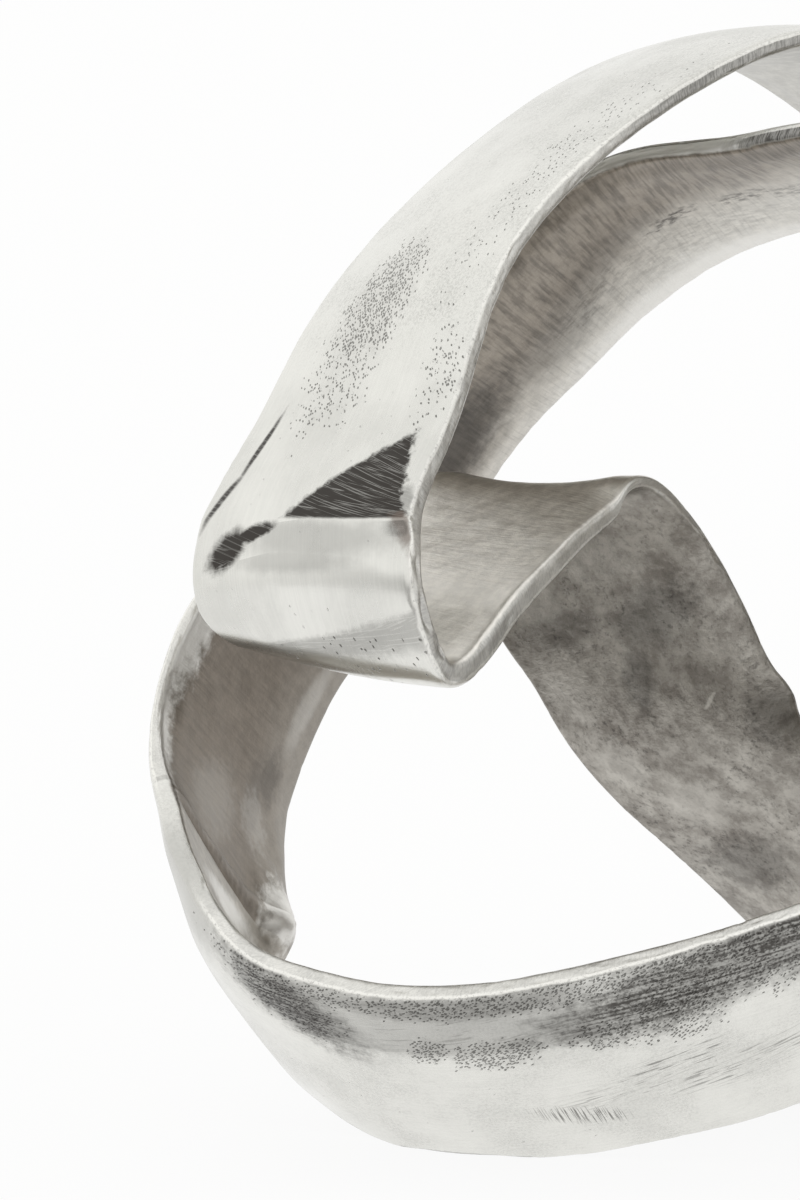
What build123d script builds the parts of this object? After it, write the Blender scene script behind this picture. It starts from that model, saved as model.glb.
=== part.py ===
from build123d import *
import os
from math import atan, cos, pi, radians, sin, sqrt

import numpy as np

# A table sculpture: one flat aluminium band led round a closed trefoil knot.
# The band is cast in nine open pieces, and each butt joint is closed by a weld.
# Millimetres, +Z up, the table at z = 0, the origin under the middle of the knot.

# Band section
BAND_WIDTH = 44.0
BAND_THICKNESS = 4.0
OUTER_CROWN = 1.4
RIM_RADIUS = 1.2

# Welds: the length of band that each one fills, and how far the bead stands
# proud of the inner face. The outer face is ground flush.
WELD_LENGTH = 4.0
WELD_BEAD = 0.6

# Stance: how far the drawn knot is tipped back, and how much of the lowest
# places is ground away so that it stands on flats.
LEAN = 10.0
FOOT_GRIND = 0.9

# How closely the sections follow the path: millimetres and degrees between
# neighbours, the fewest that a casting has, and the step of a survey of the path
SECTION_SPACING = 8.0
SECTION_TURN = 11.0
FEWEST_SECTIONS = 4
WELD_SECTIONS = 5
SURVEY_STEP = 0.5

# The path of the band's middle line, as in a drawing that faces the knot:
# across, deep (away from the viewer) and up, in millimetres, then where the far
# rim lies from the near one: swing to the right and dip downwards, in degrees.
STATIONS = {
    # front arch, from the crown down to the nose
    "crown": (17.3, 17.2, 185.1, -32, 1.5),
    "arch_top": (-4.6, -0.5, 181.7, -33, 0.5),
    "arch_shoulder": (-28.6, -15.1, 165.4, -34, 2),
    "arch_side": (-49.8, -30.4, 139.6, -43, 5),
    "arch_foot": (-58.0, -38.0, 120.0, -48, 2),
    # the nose and its sharp fold
    "nose": (-65.0, -46.5, 102.5, -53, 4),
    "nose_front": (-64.5, -48.5, 94.5, -53, 0),
    "fold_start": (-61.8, -46.5, 87.7, -53, -6),
    "fold": (-58.3, -42.5, 84.4, -53, -9),
    "fold_end": (-54.3, -38.5, 86.4, -53, -8),
    # the saddle, up and over inside the knot
    "saddle_foot": (-49.7, -34.0, 91.4, -54, -4),
    "saddle_rise": (-41.4, -24.7, 99.8, -54, -1),
    "saddle_neck": (-34.7, -16.9, 106.5, -54, -0.5),
    "saddle": (-27.0, -9.8, 110.8, -54, -2),
    "saddle_fall": (-20.9, -5.2, 103.2, -58, 9),
    # the run down behind the front base to the rear foot
    "descent_top": (-11.2, 0.6, 86.6, -56, 17),
    "descent_middle": (-6.1, 4.0, 77.2, -52, 17),
    "descent": (1.6, 9.3, 66.4, -44.5, 17),
    "descent_low": (13.8, 17.2, 53.3, -36, 17),
    "rear_drop": (26.0, 25.5, 37.0, -26, 12),
    "rear_turn": (39.0, 32.0, 23.5, -13, 0),
    "rear_foot": (54.0, 30.5, 14.6, 2, -9),
    # the right lobe, round and up to the front
    "lobe_start": (70.5, 22.5, 18.0, 11, -7),
    "lobe_low": (85.0, 9.5, 34.0, 18, 0),
    "lobe_side": (93.0, -8.0, 61.0, 22, 8),
    "lobe_middle": (95.0, -23.5, 92.0, 24, 12),
    "lobe_high": (89.0, -36.0, 121.0, 24, 15),
    "lobe_top": (74.0, -42.0, 143.0, 22, 16),
    # the rear arch, over the riser and down behind the nose
    "rear_arch_start": (54.0, -36.5, 157.0, 22, 16),
    "rear_arch_rise": (34.0, -22.0, 164.3, 22, 14),
    "rear_arch_top": (14.0, -5.0, 162.6, 23, 13.5),
    "rear_arch_shoulder": (-8.0, 6.0, 157.0, 25, 20.5),
    "rear_arch_side": (-26.4, 12.0, 141.4, 25, 21.5),
    "rear_arch_fall": (-42.7, 18.0, 123.4, 26, 20),
    # the left return, behind the nose and round to the front
    "return_start": (-58.6, 21.0, 101.4, 33, 18),
    "return_high": (-72.9, 19.0, 85.0, 36, 12),
    "return_side": (-80.1, 13.5, 66.0, 30, 11),
    "return_corner": (-80.6, 1.0, 48.0, 21.5, 12),
    # the flared front base
    "base_corner": (-79.2, -13.5, 32.3, 6, 17),
    "base_left": (-64.8, -26.3, 21.8, -5, 22),
    "base_low": (-50.0, -35.0, 17.0, -4, 32.5),
    "base_front": (-34.0, -40.0, 16.5, -2, 39.5),
    "base_right": (-7.5, -43.0, 21.3, 0, 45),
    "base_end": (16.0, -41.0, 28.5, 0, 47),
    # the riser, inside the right lobe and back up to the crown
    "riser_low": (38.0, -35.0, 43.0, -6, 38),
    "riser_bend": (53.0, -25.5, 65.0, -12, 25),
    "riser_middle": (60.0, -11.0, 94.0, -18, 14),
    "riser_high": (57.0, 5.5, 125.0, -24, 8),
    "riser_top": (48.0, 20.0, 154.0, -29, 5),
    "riser_end": (35.0, 24.5, 174.5, -32, 3),
}

# Welds in order along the path: name, station, and millimetres past it.
# Each casting takes its name from the weld that it starts at.
SEAMS = [
    ("nose_weld", "nose", -2.0, "folded_nose_band"),
    ("descent_weld", "descent_middle", 6.0, "rear_foot_band"),
    ("lobe_weld", "lobe_start", 8.0, "right_lobe_band"),
    ("lobe_top_weld", "lobe_top", 0.0, "rear_arch_band"),
    ("rear_arch_weld", "rear_arch_fall", 10.0, "left_return_band"),
    ("corner_weld", "return_corner", -2.0, "front_base_band"),
    ("base_weld", "base_right", 10.0, "lower_riser_band"),
    ("riser_weld", "riser_middle", -10.0, "upper_riser_band"),
    ("crown_weld", "riser_end", 0.0, "front_arch_band"),
]


class ClosedPath:
    """A smooth closed curve through the stations, measured by its chords."""

    def __init__(self, rows):
        self.points = np.array(rows, float)
        chords = np.roll(self.points[:, :3], -1, 0) - self.points[:, :3]
        self.steps = np.linalg.norm(chords, axis=1)
        self.marks = np.concatenate([[0.0], np.cumsum(self.steps)])
        self.length = self.marks[-1]
        self.bends = self.solve_bends()

    def solve_bends(self):
        """Second derivatives of a periodic cubic spline."""
        count = len(self.points)
        matrix = np.zeros((count, count))
        right = np.zeros_like(self.points)
        for i in range(count):
            before = self.steps[i - 1]
            after = self.steps[i]
            following = (i + 1) % count
            matrix[i, i - 1] += before
            matrix[i, i] += 2 * (before + after)
            matrix[i, following] += after
            slope_after = (self.points[following] - self.points[i]) / after
            slope_before = (self.points[i] - self.points[i - 1]) / before
            right[i] = 6 * (slope_after - slope_before)
        return np.linalg.solve(matrix, right)

    def at(self, distance):
        """Value and slope at a distance along the path."""
        distance = distance % self.length
        i = min(int(np.searchsorted(self.marks, distance, "right")) - 1, len(self.points) - 1)
        j = (i + 1) % len(self.points)
        step = self.steps[i]
        gone = distance - self.marks[i]
        left = step - gone
        bend_i = self.bends[i]
        bend_j = self.bends[j]
        start = self.points[i] / step - bend_i * step / 6
        end = self.points[j] / step - bend_j * step / 6
        value = (bend_i * left**3 + bend_j * gone**3) / (6 * step) + start * left + end * gone
        slope = (bend_j * gone**2 - bend_i * left**2) / (2 * step) - start + end
        return value, slope


PATH = ClosedPath(list(STATIONS.values()))


def tip_back(vector):
    """Turns a drawing direction or point into the standing knot's frame."""
    across, deep, up = vector
    lean = radians(LEAN)
    return np.array([
        across,
        deep * cos(lean) + up * sin(lean),
        up * cos(lean) - deep * sin(lean),
    ])


def frame_at(distance):
    """Middle of the band with its directions: along, to the far rim, outwards."""
    value, slope = PATH.at(distance)
    along = slope[:3] / np.linalg.norm(slope[:3])
    swing = radians(value[3])
    dip = radians(value[4])
    rim = np.array([sin(swing) * cos(dip), cos(swing) * cos(dip), -sin(dip)])
    rim = rim - rim.dot(along) * along
    rim = rim / np.linalg.norm(rim)
    outward = np.cross(rim, along)
    return tip_back(value[:3]), tip_back(along), tip_back(rim), tip_back(outward)


def outline(bead=0.0):
    """Corner and arc points of the section: across the band, then outwards.

    A bead thickens the section inwards and, by half as much, at both rims. The
    outer rounding of each rim runs smoothly into the crown of the outer face.
    """
    half = BAND_WIDTH / 2 + bead / 2
    bottom = -BAND_THICKNESS / 2 - bead
    reach = half - RIM_RADIUS
    level = BAND_THICKNESS / 2 - RIM_RADIUS
    tilt = 2 * atan(OUTER_CROWN / reach)
    edge = (reach + RIM_RADIUS * sin(tilt), level + RIM_RADIUS * cos(tilt))
    turn = (pi / 2 - tilt) / 2
    outer_mid = (reach + RIM_RADIUS * cos(turn), level + RIM_RADIUS * sin(turn))
    round_in = RIM_RADIUS * (1 - sqrt(0.5))
    return [
        (-reach, bottom),
        (reach, bottom),
        (half - round_in, bottom + round_in),
        (half, bottom + RIM_RADIUS),
        (half, level),
        outer_mid,
        edge,
        (0.0, edge[1] + OUTER_CROWN),
        (-edge[0], edge[1]),
        (-outer_mid[0], outer_mid[1]),
        (-half, level),
        (-half, bottom + RIM_RADIUS),
        (-half + round_in, bottom + round_in),
    ]


def placed_outline(distance, bead=0.0):
    middle, _, rim, outward = frame_at(distance)
    return [middle + rim * across + outward * out for across, out in outline(bead)]


# The table touches the lowest place after grinding, and the origin lies under
# the middle of the knot's length and depth.
survey = np.concatenate([
    placed_outline(distance) for distance in np.arange(0.0, PATH.length, SURVEY_STEP)
])
low = survey.min(0)
high = survey.max(0)
ORIGIN = np.array([(low[0] + high[0]) / 2, (low[1] + high[1]) / 2, low[2] + FOOT_GRIND])


def section(distance, bead=0.0):
    """Closed wire of the band's section, in a plane square to the path."""
    p = [tuple(point - ORIGIN) for point in placed_outline(distance, bead)]
    return Wire([
        Edge.make_line(p[0], p[1]),
        Edge.make_three_point_arc(p[1], p[2], p[3]),
        Edge.make_line(p[3], p[4]),
        Edge.make_three_point_arc(p[4], p[5], p[6]),
        Edge.make_three_point_arc(p[6], p[7], p[8]),
        Edge.make_three_point_arc(p[8], p[9], p[10]),
        Edge.make_line(p[10], p[11]),
        Edge.make_three_point_arc(p[11], p[12], p[0]),
    ])


def section_places(start, end):
    """Distances from start to end, closer together where the band turns."""
    walk = np.linspace(start, end, 2 + int((end - start) / SURVEY_STEP))
    effort = [0.0]
    _, along, rim, _ = frame_at(walk[0])
    for before, after in zip(walk[:-1], walk[1:]):
        _, next_along, next_rim, _ = frame_at(after)
        turn = np.linalg.norm(next_along - along) + np.linalg.norm(next_rim - rim)
        effort.append(effort[-1] + (after - before) / SECTION_SPACING + turn / radians(SECTION_TURN))
        along = next_along
        rim = next_rim
    count = max(FEWEST_SECTIONS, int(effort[-1]) + 2)
    return np.interp(np.linspace(0.0, effort[-1], count), effort, walk)


def band(start, end):
    """One casting: the band from one weld to the next, with its foot ground flat."""
    solid = Solid.make_loft([section(place) for place in section_places(start, end)])
    reach = solid.bounding_box()
    if reach.min.Z < 0:
        solid = split(solid, bisect_by=Plane.XY, keep=Keep.TOP)
    return solid


def weld(start):
    """One weld: a slice of the band, with a raised bead on its inner face."""
    shares = np.linspace(0.0, 1.0, WELD_SECTIONS)
    beads = [WELD_BEAD * 4 * share * (1 - share) for share in shares]
    return Solid.make_loft([
        section(start + WELD_LENGTH * share, bead) for share, bead in zip(shares, beads)
    ])


os.makedirs("parts", exist_ok=True)
labels = list(STATIONS)
starts = [PATH.marks[labels.index(label)] + past for _, label, past, _ in SEAMS]
for index, (weld_name, _, _, band_name) in enumerate(SEAMS):
    begin = starts[index]
    finish = starts[(index + 1) % len(SEAMS)]
    if finish < begin:
        finish += PATH.length
    weld_part = weld(begin)
    weld_part.label = weld_name
    export_step(weld_part, f"parts/{weld_name}.step")
    band_part = band(begin + WELD_LENGTH, finish)
    band_part.label = band_name
    export_step(band_part, f"parts/{band_name}.step")
    print(band_name, "volume", round(band_part.volume), weld_name, round(weld_part.volume))
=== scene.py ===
# %% [markdown]
# # A knot of cast aluminium band
# The ornament is one wide, flat band led round a closed trefoil knot. It is cast in open lengths, which
# are welded end to end, ground and polished. The lesson first repeats the path of the band, then sweeps
# each casting and each weld along it, then finishes the metal, and last sets the light and the camera.
# The construction model is loaded first, because every piece made here has to lie where it lies there.

# %% Load the construction model
from math import atan, cos, pi, radians, sin

import bmesh
import bpy
import numpy as np
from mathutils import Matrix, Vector, noise


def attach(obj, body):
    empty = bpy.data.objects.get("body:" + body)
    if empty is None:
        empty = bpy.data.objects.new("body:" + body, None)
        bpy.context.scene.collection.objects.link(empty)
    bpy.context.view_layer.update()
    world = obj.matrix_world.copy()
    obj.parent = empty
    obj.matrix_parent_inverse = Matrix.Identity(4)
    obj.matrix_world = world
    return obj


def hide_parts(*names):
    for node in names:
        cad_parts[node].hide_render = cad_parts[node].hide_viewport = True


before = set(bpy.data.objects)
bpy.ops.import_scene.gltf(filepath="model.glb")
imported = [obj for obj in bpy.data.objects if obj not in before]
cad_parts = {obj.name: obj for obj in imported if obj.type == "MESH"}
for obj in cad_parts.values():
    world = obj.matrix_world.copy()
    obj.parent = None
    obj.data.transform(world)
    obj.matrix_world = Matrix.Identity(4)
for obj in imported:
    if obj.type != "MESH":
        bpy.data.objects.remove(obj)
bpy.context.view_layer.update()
print("nodes in the construction model:", len(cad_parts))

# %% [markdown]
# ## The path of the band
# The middle line of the band is a smooth closed curve through stations that are given in a drawing that
# faces the knot. Each station gives its place and how the band is turned there, so one curve leads both the
# line and the twist. A curve object with a bevel could follow the line, but its twist can't be steered this
# closely, so the curve is worked out here as a periodic cubic spline.

# %% Sizes and stations, in millimetres and degrees
BAND_WIDTH = 44.0
BAND_THICKNESS = 4.0
OUTER_CROWN = 1.4
RIM_RADIUS = 1.2
WELD_LENGTH = 4.0
WELD_BEAD = 0.6
LEAN = 10.0
FOOT_GRIND = 0.9
MILLIMETRE = 0.001

# Across, deep, up, then the far rim's swing to the right and its dip
STATIONS = {
    "crown": (17.3, 17.2, 185.1, -32, 1.5),
    "arch_top": (-4.6, -0.5, 181.7, -33, 0.5),
    "arch_shoulder": (-28.6, -15.1, 165.4, -34, 2),
    "arch_side": (-49.8, -30.4, 139.6, -43, 5),
    "arch_foot": (-58.0, -38.0, 120.0, -48, 2),
    "nose": (-65.0, -46.5, 102.5, -53, 4),
    "nose_front": (-64.5, -48.5, 94.5, -53, 0),
    "fold_start": (-61.8, -46.5, 87.7, -53, -6),
    "fold": (-58.3, -42.5, 84.4, -53, -9),
    "fold_end": (-54.3, -38.5, 86.4, -53, -8),
    "saddle_foot": (-49.7, -34.0, 91.4, -54, -4),
    "saddle_rise": (-41.4, -24.7, 99.8, -54, -1),
    "saddle_neck": (-34.7, -16.9, 106.5, -54, -0.5),
    "saddle": (-27.0, -9.8, 110.8, -54, -2),
    "saddle_fall": (-20.9, -5.2, 103.2, -58, 9),
    "descent_top": (-11.2, 0.6, 86.6, -56, 17),
    "descent_middle": (-6.1, 4.0, 77.2, -52, 17),
    "descent": (1.6, 9.3, 66.4, -44.5, 17),
    "descent_low": (13.8, 17.2, 53.3, -36, 17),
    "rear_drop": (26.0, 25.5, 37.0, -26, 12),
    "rear_turn": (39.0, 32.0, 23.5, -13, 0),
    "rear_foot": (54.0, 30.5, 14.6, 2, -9),
    "lobe_start": (70.5, 22.5, 18.0, 11, -7),
    "lobe_low": (85.0, 9.5, 34.0, 18, 0),
    "lobe_side": (93.0, -8.0, 61.0, 22, 8),
    "lobe_middle": (95.0, -23.5, 92.0, 24, 12),
    "lobe_high": (89.0, -36.0, 121.0, 24, 15),
    "lobe_top": (74.0, -42.0, 143.0, 22, 16),
    "rear_arch_start": (54.0, -36.5, 157.0, 22, 16),
    "rear_arch_rise": (34.0, -22.0, 164.3, 22, 14),
    "rear_arch_top": (14.0, -5.0, 162.6, 23, 13.5),
    "rear_arch_shoulder": (-8.0, 6.0, 157.0, 25, 20.5),
    "rear_arch_side": (-26.4, 12.0, 141.4, 25, 21.5),
    "rear_arch_fall": (-42.7, 18.0, 123.4, 26, 20),
    "return_start": (-58.6, 21.0, 101.4, 33, 18),
    "return_high": (-72.9, 19.0, 85.0, 36, 12),
    "return_side": (-80.1, 13.5, 66.0, 30, 11),
    "return_corner": (-80.6, 1.0, 48.0, 21.5, 12),
    "base_corner": (-79.2, -13.5, 32.3, 6, 17),
    "base_left": (-64.8, -26.3, 21.8, -5, 22),
    "base_low": (-50.0, -35.0, 17.0, -4, 32.5),
    "base_front": (-34.0, -40.0, 16.5, -2, 39.5),
    "base_right": (-7.5, -43.0, 21.3, 0, 45),
    "base_end": (16.0, -41.0, 28.5, 0, 47),
    "riser_low": (38.0, -35.0, 43.0, -6, 38),
    "riser_bend": (53.0, -25.5, 65.0, -12, 25),
    "riser_middle": (60.0, -11.0, 94.0, -18, 14),
    "riser_high": (57.0, 5.5, 125.0, -24, 8),
    "riser_top": (48.0, 20.0, 154.0, -29, 5),
    "riser_end": (35.0, 24.5, 174.5, -32, 3),
}
print("stations:", len(STATIONS))

# %% The curve through the stations
ROWS = np.array(list(STATIONS.values()), float)
STEPS = np.linalg.norm(np.roll(ROWS[:, :3], -1, 0) - ROWS[:, :3], axis=1)
MARKS = np.concatenate([[0.0], np.cumsum(STEPS)])
PATH_LENGTH = MARKS[-1]


def spline_bends():
    """Second derivatives of a periodic cubic spline through the stations."""
    count = len(ROWS)
    matrix = np.zeros((count, count))
    right = np.zeros_like(ROWS)
    for i in range(count):
        following = (i + 1) % count
        matrix[i, i - 1] = STEPS[i - 1]
        matrix[i, i] = 2 * (STEPS[i - 1] + STEPS[i])
        matrix[i, following] = STEPS[i]
        slope_after = (ROWS[following] - ROWS[i]) / STEPS[i]
        slope_before = (ROWS[i] - ROWS[i - 1]) / STEPS[i - 1]
        right[i] = 6 * (slope_after - slope_before)
    return np.linalg.solve(matrix, right)


BENDS = spline_bends()


def follow(distances):
    """Station values and their slopes at distances along the path."""
    wrapped = np.asarray(distances, float) % PATH_LENGTH
    i = np.minimum(np.searchsorted(MARKS, wrapped, "right") - 1, len(ROWS) - 1)
    j = (i + 1) % len(ROWS)
    step = STEPS[i][:, None]
    gone = (wrapped - MARKS[i])[:, None]
    left = step - gone
    start = ROWS[i] / step - BENDS[i] * step / 6
    end = ROWS[j] / step - BENDS[j] * step / 6
    value = (BENDS[i] * left**3 + BENDS[j] * gone**3) / (6 * step) + start * left + end * gone
    slope = (BENDS[j] * gone**2 - BENDS[i] * left**2) / (2 * step) - start + end
    return value, slope


def mark(station, past=0.0):
    """Distance along the path of a place that is given from a station."""
    return MARKS[list(STATIONS).index(station)] + past


print("path length in millimetres:", round(PATH_LENGTH, 1))

# %% [markdown]
# ## The standing knot
# The drawing faces the knot squarely, but the ornament leans back a little on its two feet. Every place
# and direction of the drawing is therefore tipped back by the same angle. What the far rim, the path and
# the outer face point to at each place makes a small frame that carries the section of the band.

# %% Directions of the band
def tip_back(vectors):
    """Turns drawing points or directions into the standing knot's."""
    vectors = np.asarray(vectors, float)
    lean = radians(LEAN)
    across = vectors[..., 0]
    deep = vectors[..., 1] * cos(lean) + vectors[..., 2] * sin(lean)
    up = vectors[..., 2] * cos(lean) - vectors[..., 1] * sin(lean)
    return np.stack([across, deep, up], -1)


def unit(vectors):
    """Vectors brought to a length of 1."""
    return vectors / np.linalg.norm(vectors, axis=-1, keepdims=True)


def band_frames(distances):
    """Middle of the band, direction to its far rim and direction outwards."""
    value, slope = follow(distances)
    along = unit(slope[:, :3])
    swing = np.radians(value[:, 3])
    dip = np.radians(value[:, 4])
    rim = np.stack([np.sin(swing) * np.cos(dip), np.cos(swing) * np.cos(dip), -np.sin(dip)], -1)
    rim = unit(rim - (rim * along).sum(-1, keepdims=True) * along)
    outward = np.cross(rim, along)
    return tip_back(value[:, :3]), tip_back(rim), tip_back(outward)


print("the band faces", band_frames([mark("nose")])[2].round(2), "at the nose")

# %% The section that they carry
FACE_STEPS = 44
ARC_STEPS = 5
RIM_STEPS = 4
SURVEY_STEP = 0.5


def section_profile():
    """Points round the section as (across, out): inner face, far rim, outer face, near rim."""
    reach = BAND_WIDTH / 2 - RIM_RADIUS
    level = BAND_THICKNESS / 2 - RIM_RADIUS
    tilt = 2 * atan(OUTER_CROWN / reach)
    edge = reach + RIM_RADIUS * sin(tilt)
    edge_level = level + RIM_RADIUS * cos(tilt)
    points = []
    for share in np.linspace(-1, 1, FACE_STEPS, endpoint=False):
        points.append((reach * share, -BAND_THICKNESS / 2))
    for turn in np.linspace(-pi / 2, 0, ARC_STEPS, endpoint=False):
        points.append((reach + RIM_RADIUS * cos(turn), -level + RIM_RADIUS * sin(turn)))
    for share in np.linspace(-1, 1, RIM_STEPS, endpoint=False):
        points.append((BAND_WIDTH / 2, level * share))
    for turn in np.linspace(0, pi / 2 - tilt, ARC_STEPS, endpoint=False):
        points.append((reach + RIM_RADIUS * cos(turn), level + RIM_RADIUS * sin(turn)))
    for share in np.linspace(1, -1, FACE_STEPS, endpoint=False):
        points.append((edge * share, edge_level + OUTER_CROWN * (1 - share**2)))
    for turn in np.linspace(pi / 2 + tilt, pi, ARC_STEPS, endpoint=False):
        points.append((-reach + RIM_RADIUS * cos(turn), level + RIM_RADIUS * sin(turn)))
    for share in np.linspace(1, -1, RIM_STEPS, endpoint=False):
        points.append((-BAND_WIDTH / 2, level * share))
    for turn in np.linspace(pi, 3 * pi / 2, ARC_STEPS, endpoint=False):
        points.append((-reach + RIM_RADIUS * cos(turn), -level + RIM_RADIUS * sin(turn)))
    return np.array(points)


PROFILE = section_profile()
middle, rim, outward = band_frames(np.arange(0.0, PATH_LENGTH, SURVEY_STEP))
survey = middle[:, None] + rim[:, None] * PROFILE[:, :1] + outward[:, None] * PROFILE[:, 1:]
low = survey.min((0, 1))
high = survey.max((0, 1))
ORIGIN = np.array([(low[0] + high[0]) / 2, (low[1] + high[1]) / 2, low[2] + FOOT_GRIND])
print("points in the section:", len(PROFILE), "origin in the drawing:", ORIGIN.round(2))

# %% [markdown]
# ## The shape of a hand-made casting
# A sand casting that was filed and polished by hand is never quite true: its rims wander, its faces are
# a little wavy, and lumps stay where the file couldn't reach. A displacement in the material would leave
# the outline straight, so these departures move the points of the mesh. They depend on the place along
# and across the band alone, so a casting and the weld beside it still meet.

# %% Waves, steps and bells
HALF_WIDTH = BAND_WIDTH / 2
HALF_THICKNESS = BAND_THICKNESS / 2
# Layers of noise: size in millimetres, weight, seed
RIM_LAYERS = [(19.0, 1.0, 3.1), (6.0, 0.4, 7.7)]
OUTER_LAYERS = [(15.0, 1.0, 1.3), (5.0, 0.35, 4.9)]
INNER_LAYERS = [(12.0, 1.0, 9.2), (4.0, 0.40, 2.6)]


def waves(along, across, size, seed):
    """Smooth noise over the closed band, with features of about that size in millimetres."""
    radius = PATH_LENGTH / (2 * pi * size)
    turn = 2 * pi * along / PATH_LENGTH
    places = zip(radius * np.cos(turn), radius * np.sin(turn), across / size + seed)
    return np.array([noise.noise(place) for place in places])


def layered(along, across, layers):
    """Waves of several sizes, one on top of the other."""
    return sum(weight * waves(along, across, size, seed) for size, weight, seed in layers)


def ease(values, start, end):
    """A smooth step from 0 at start to 1 at end."""
    share = np.clip((values - start) / (end - start), 0.0, 1.0)
    return share * share * (3 - 2 * share)


def bell(values, place, length):
    """1 at a place, falling off smoothly on both sides of it."""
    return np.exp(-((values - place) / length) ** 2)


def outerness(out):
    """0 on the inner face, rising to 1 on the outer face."""
    return ease(out, -HALF_THICKNESS, HALF_THICKNESS)


print("layers of noise:", len(RIM_LAYERS + OUTER_LAYERS + INNER_LAYERS))

# %% Rims that bulge, wander and are chipped
RIM_ZONE = 8.0
RIM_WANDER = 0.32
# The two rims read their noise far from each other
RIM_ROW = 40.0
CORNER_START = 1.4
CORNER_FULL = 0.4
CHIP_DEPTH = 0.35
CHIP_SIZE = 2.4
CHIP_SEED = 5.5
CHIP_ONSET = 0.12
CHIP_SLANT = 3.0
NOSE_CHIPS = 2.2
NOSE_CHIP_REACH = 8.0
# Place along the path, length and share of the rim that was rubbed smooth at the saddle
SMOOTH_RIM = (mark("saddle_neck"), 26.0, 0.7)
# Place along the path, length and width of a bevel that was filed on the near rim's outer corner
BEVEL = (mark("rear_arch_top", 9.0), 20.0, 1.2)
# Place along the path, side (+1 far, -1 near), length, height
RIM_BULGES = [
    (mark("return_side", 22.0), 1, 6.5, 1.8),
    (mark("return_side", 9.0), 1, 7.0, -0.8),
    (mark("descent_middle", 6.5), -1, 4.5, 1.6),
    (mark("descent_top", 4.0), 1, 11.0, -0.8),
    (mark("rear_arch_shoulder", 6.0), 1, 14.0, 0.8),
    (mark("riser_end", 13.0) - PATH_LENGTH, 1, 9.0, 2.0),
    (mark("base_left", -3.0), -1, 11.0, -0.9),
    (mark("return_high", 8.0), 1, 13.0, 1.5),
]


def bulged_rims(along, across):
    """Places across the band after the bulges of its rims."""
    side = np.sign(across)
    rimward = ease(np.abs(across), HALF_WIDTH - RIM_ZONE, HALF_WIDTH)
    for place, bulging, length, height in RIM_BULGES:
        across = across + bulging * height * bell(along, place, length) * rimward * (side == bulging)
    return across


def unworn(along):
    """How much of the wander and the chips of a rim is left."""
    place, length, share = SMOOTH_RIM
    return 1 - share * np.exp(-((along - place) / length) ** 4)


def rim_work(along, across, bulged, out):
    """How far the rims stand out where wander, chips and the bevel left them."""
    side = np.sign(across)
    rimward = ease(np.abs(across), HALF_WIDTH - RIM_ZONE, HALF_WIDTH)
    chips = waves(along, side * RIM_ROW + out * CHIP_SLANT, CHIP_SIZE, CHIP_SEED) - CHIP_ONSET
    beside_nose = bell(along, mark("fold_start"), NOSE_CHIP_REACH) * (side < 0)
    chips = np.maximum(chips, 0.0) * (1 + NOSE_CHIPS * beside_nose)
    corner = ease(np.abs(bulged), HALF_WIDTH - CORNER_START, HALF_WIDTH - CORNER_FULL)
    wander = layered(along, side * RIM_ROW, RIM_LAYERS)
    rough = rimward * RIM_WANDER * wander - corner * CHIP_DEPTH * chips
    place, length, width = BEVEL
    bevel = width * bell(along, place, length) * outerness(out) * corner * (side < 0)
    return rough * unworn(along) - bevel


print("bulges of the rims:", len(RIM_BULGES))

# %% The fold line and the filed facet on the front arch
FOLD_LINE = mark("nose", -1.8)
FOLD_TILT = -0.12
FOLD_RIDGE = 0.4
FOLD_REACH = 2.6
FACET_EDGE = 14.0
FACET_SLANT = 0.25
FACET_SLOPE = 0.08
FACET_ORIGIN = mark("arch_foot", -2.0)
FACET_BEGIN = (mark("arch_shoulder"), mark("arch_foot"))
FACET_END = (mark("nose", -2.0), mark("nose", 3.0))


def front_work(along, across):
    """How far the outer face of the front arch was left proud of the true section."""
    beside = np.abs(along - FOLD_LINE - FOLD_TILT * across)
    edge = FACET_EDGE + FACET_SLANT * (along - FACET_ORIGIN)
    present = ease(along, *FACET_BEGIN) * (1 - ease(along, *FACET_END))
    facet = FACET_SLOPE * np.maximum(across - edge, 0.0) * present
    return FOLD_RIDGE * np.exp(-beside / FOLD_REACH) - facet


print("fold line at", round(FOLD_LINE, 1), "mm along the path")

# %% Edges that curl inwards and corners that were rounded off
CURL_BEGIN = 8.0
ROUND_BEGIN = 16.0
# Place along the path, length, height of the curl at the near rim
CURLED_EDGES = [
    (mark("base_corner", 4.0), 11.0, 2.0),
    (mark("rear_arch_rise", -3.0), 12.0, 1.2),
]
# Where the rounding of the near rim's outer corner begins, is full, starts to end and ends, and its depth
ROUNDED_CORNERS = [
    (mark("rear_arch_fall"), mark("return_start"), mark("base_corner", 10.0), mark("base_low"), 0.8),
    (mark("saddle_fall", -4.0), mark("descent_top"), mark("descent_low"), mark("rear_drop"), 1.2),
]


def nearness(across, begin):
    """0 at a place across, rising to 1 at the near rim."""
    return np.clip((-across - begin) / (HALF_WIDTH - begin), 0.0, 1.0) ** 2


def edge_curl(along, across):
    """How far the near edge curls inwards."""
    curls = [height * bell(along, place, length) for place, length, height in CURLED_EDGES]
    return sum(curls) * nearness(across, CURL_BEGIN)


def corner_round(along, across):
    """How far the outer corner of the near rim was rounded off."""
    depths = [depth * ease(along, begin, full) * (1 - ease(along, ending, end))
              for begin, full, ending, end, depth in ROUNDED_CORNERS]
    return sum(depths) * nearness(across, ROUND_BEGIN)


print("curled edges:", len(CURLED_EDGES), "rounded corners:", len(ROUNDED_CORNERS))

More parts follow.
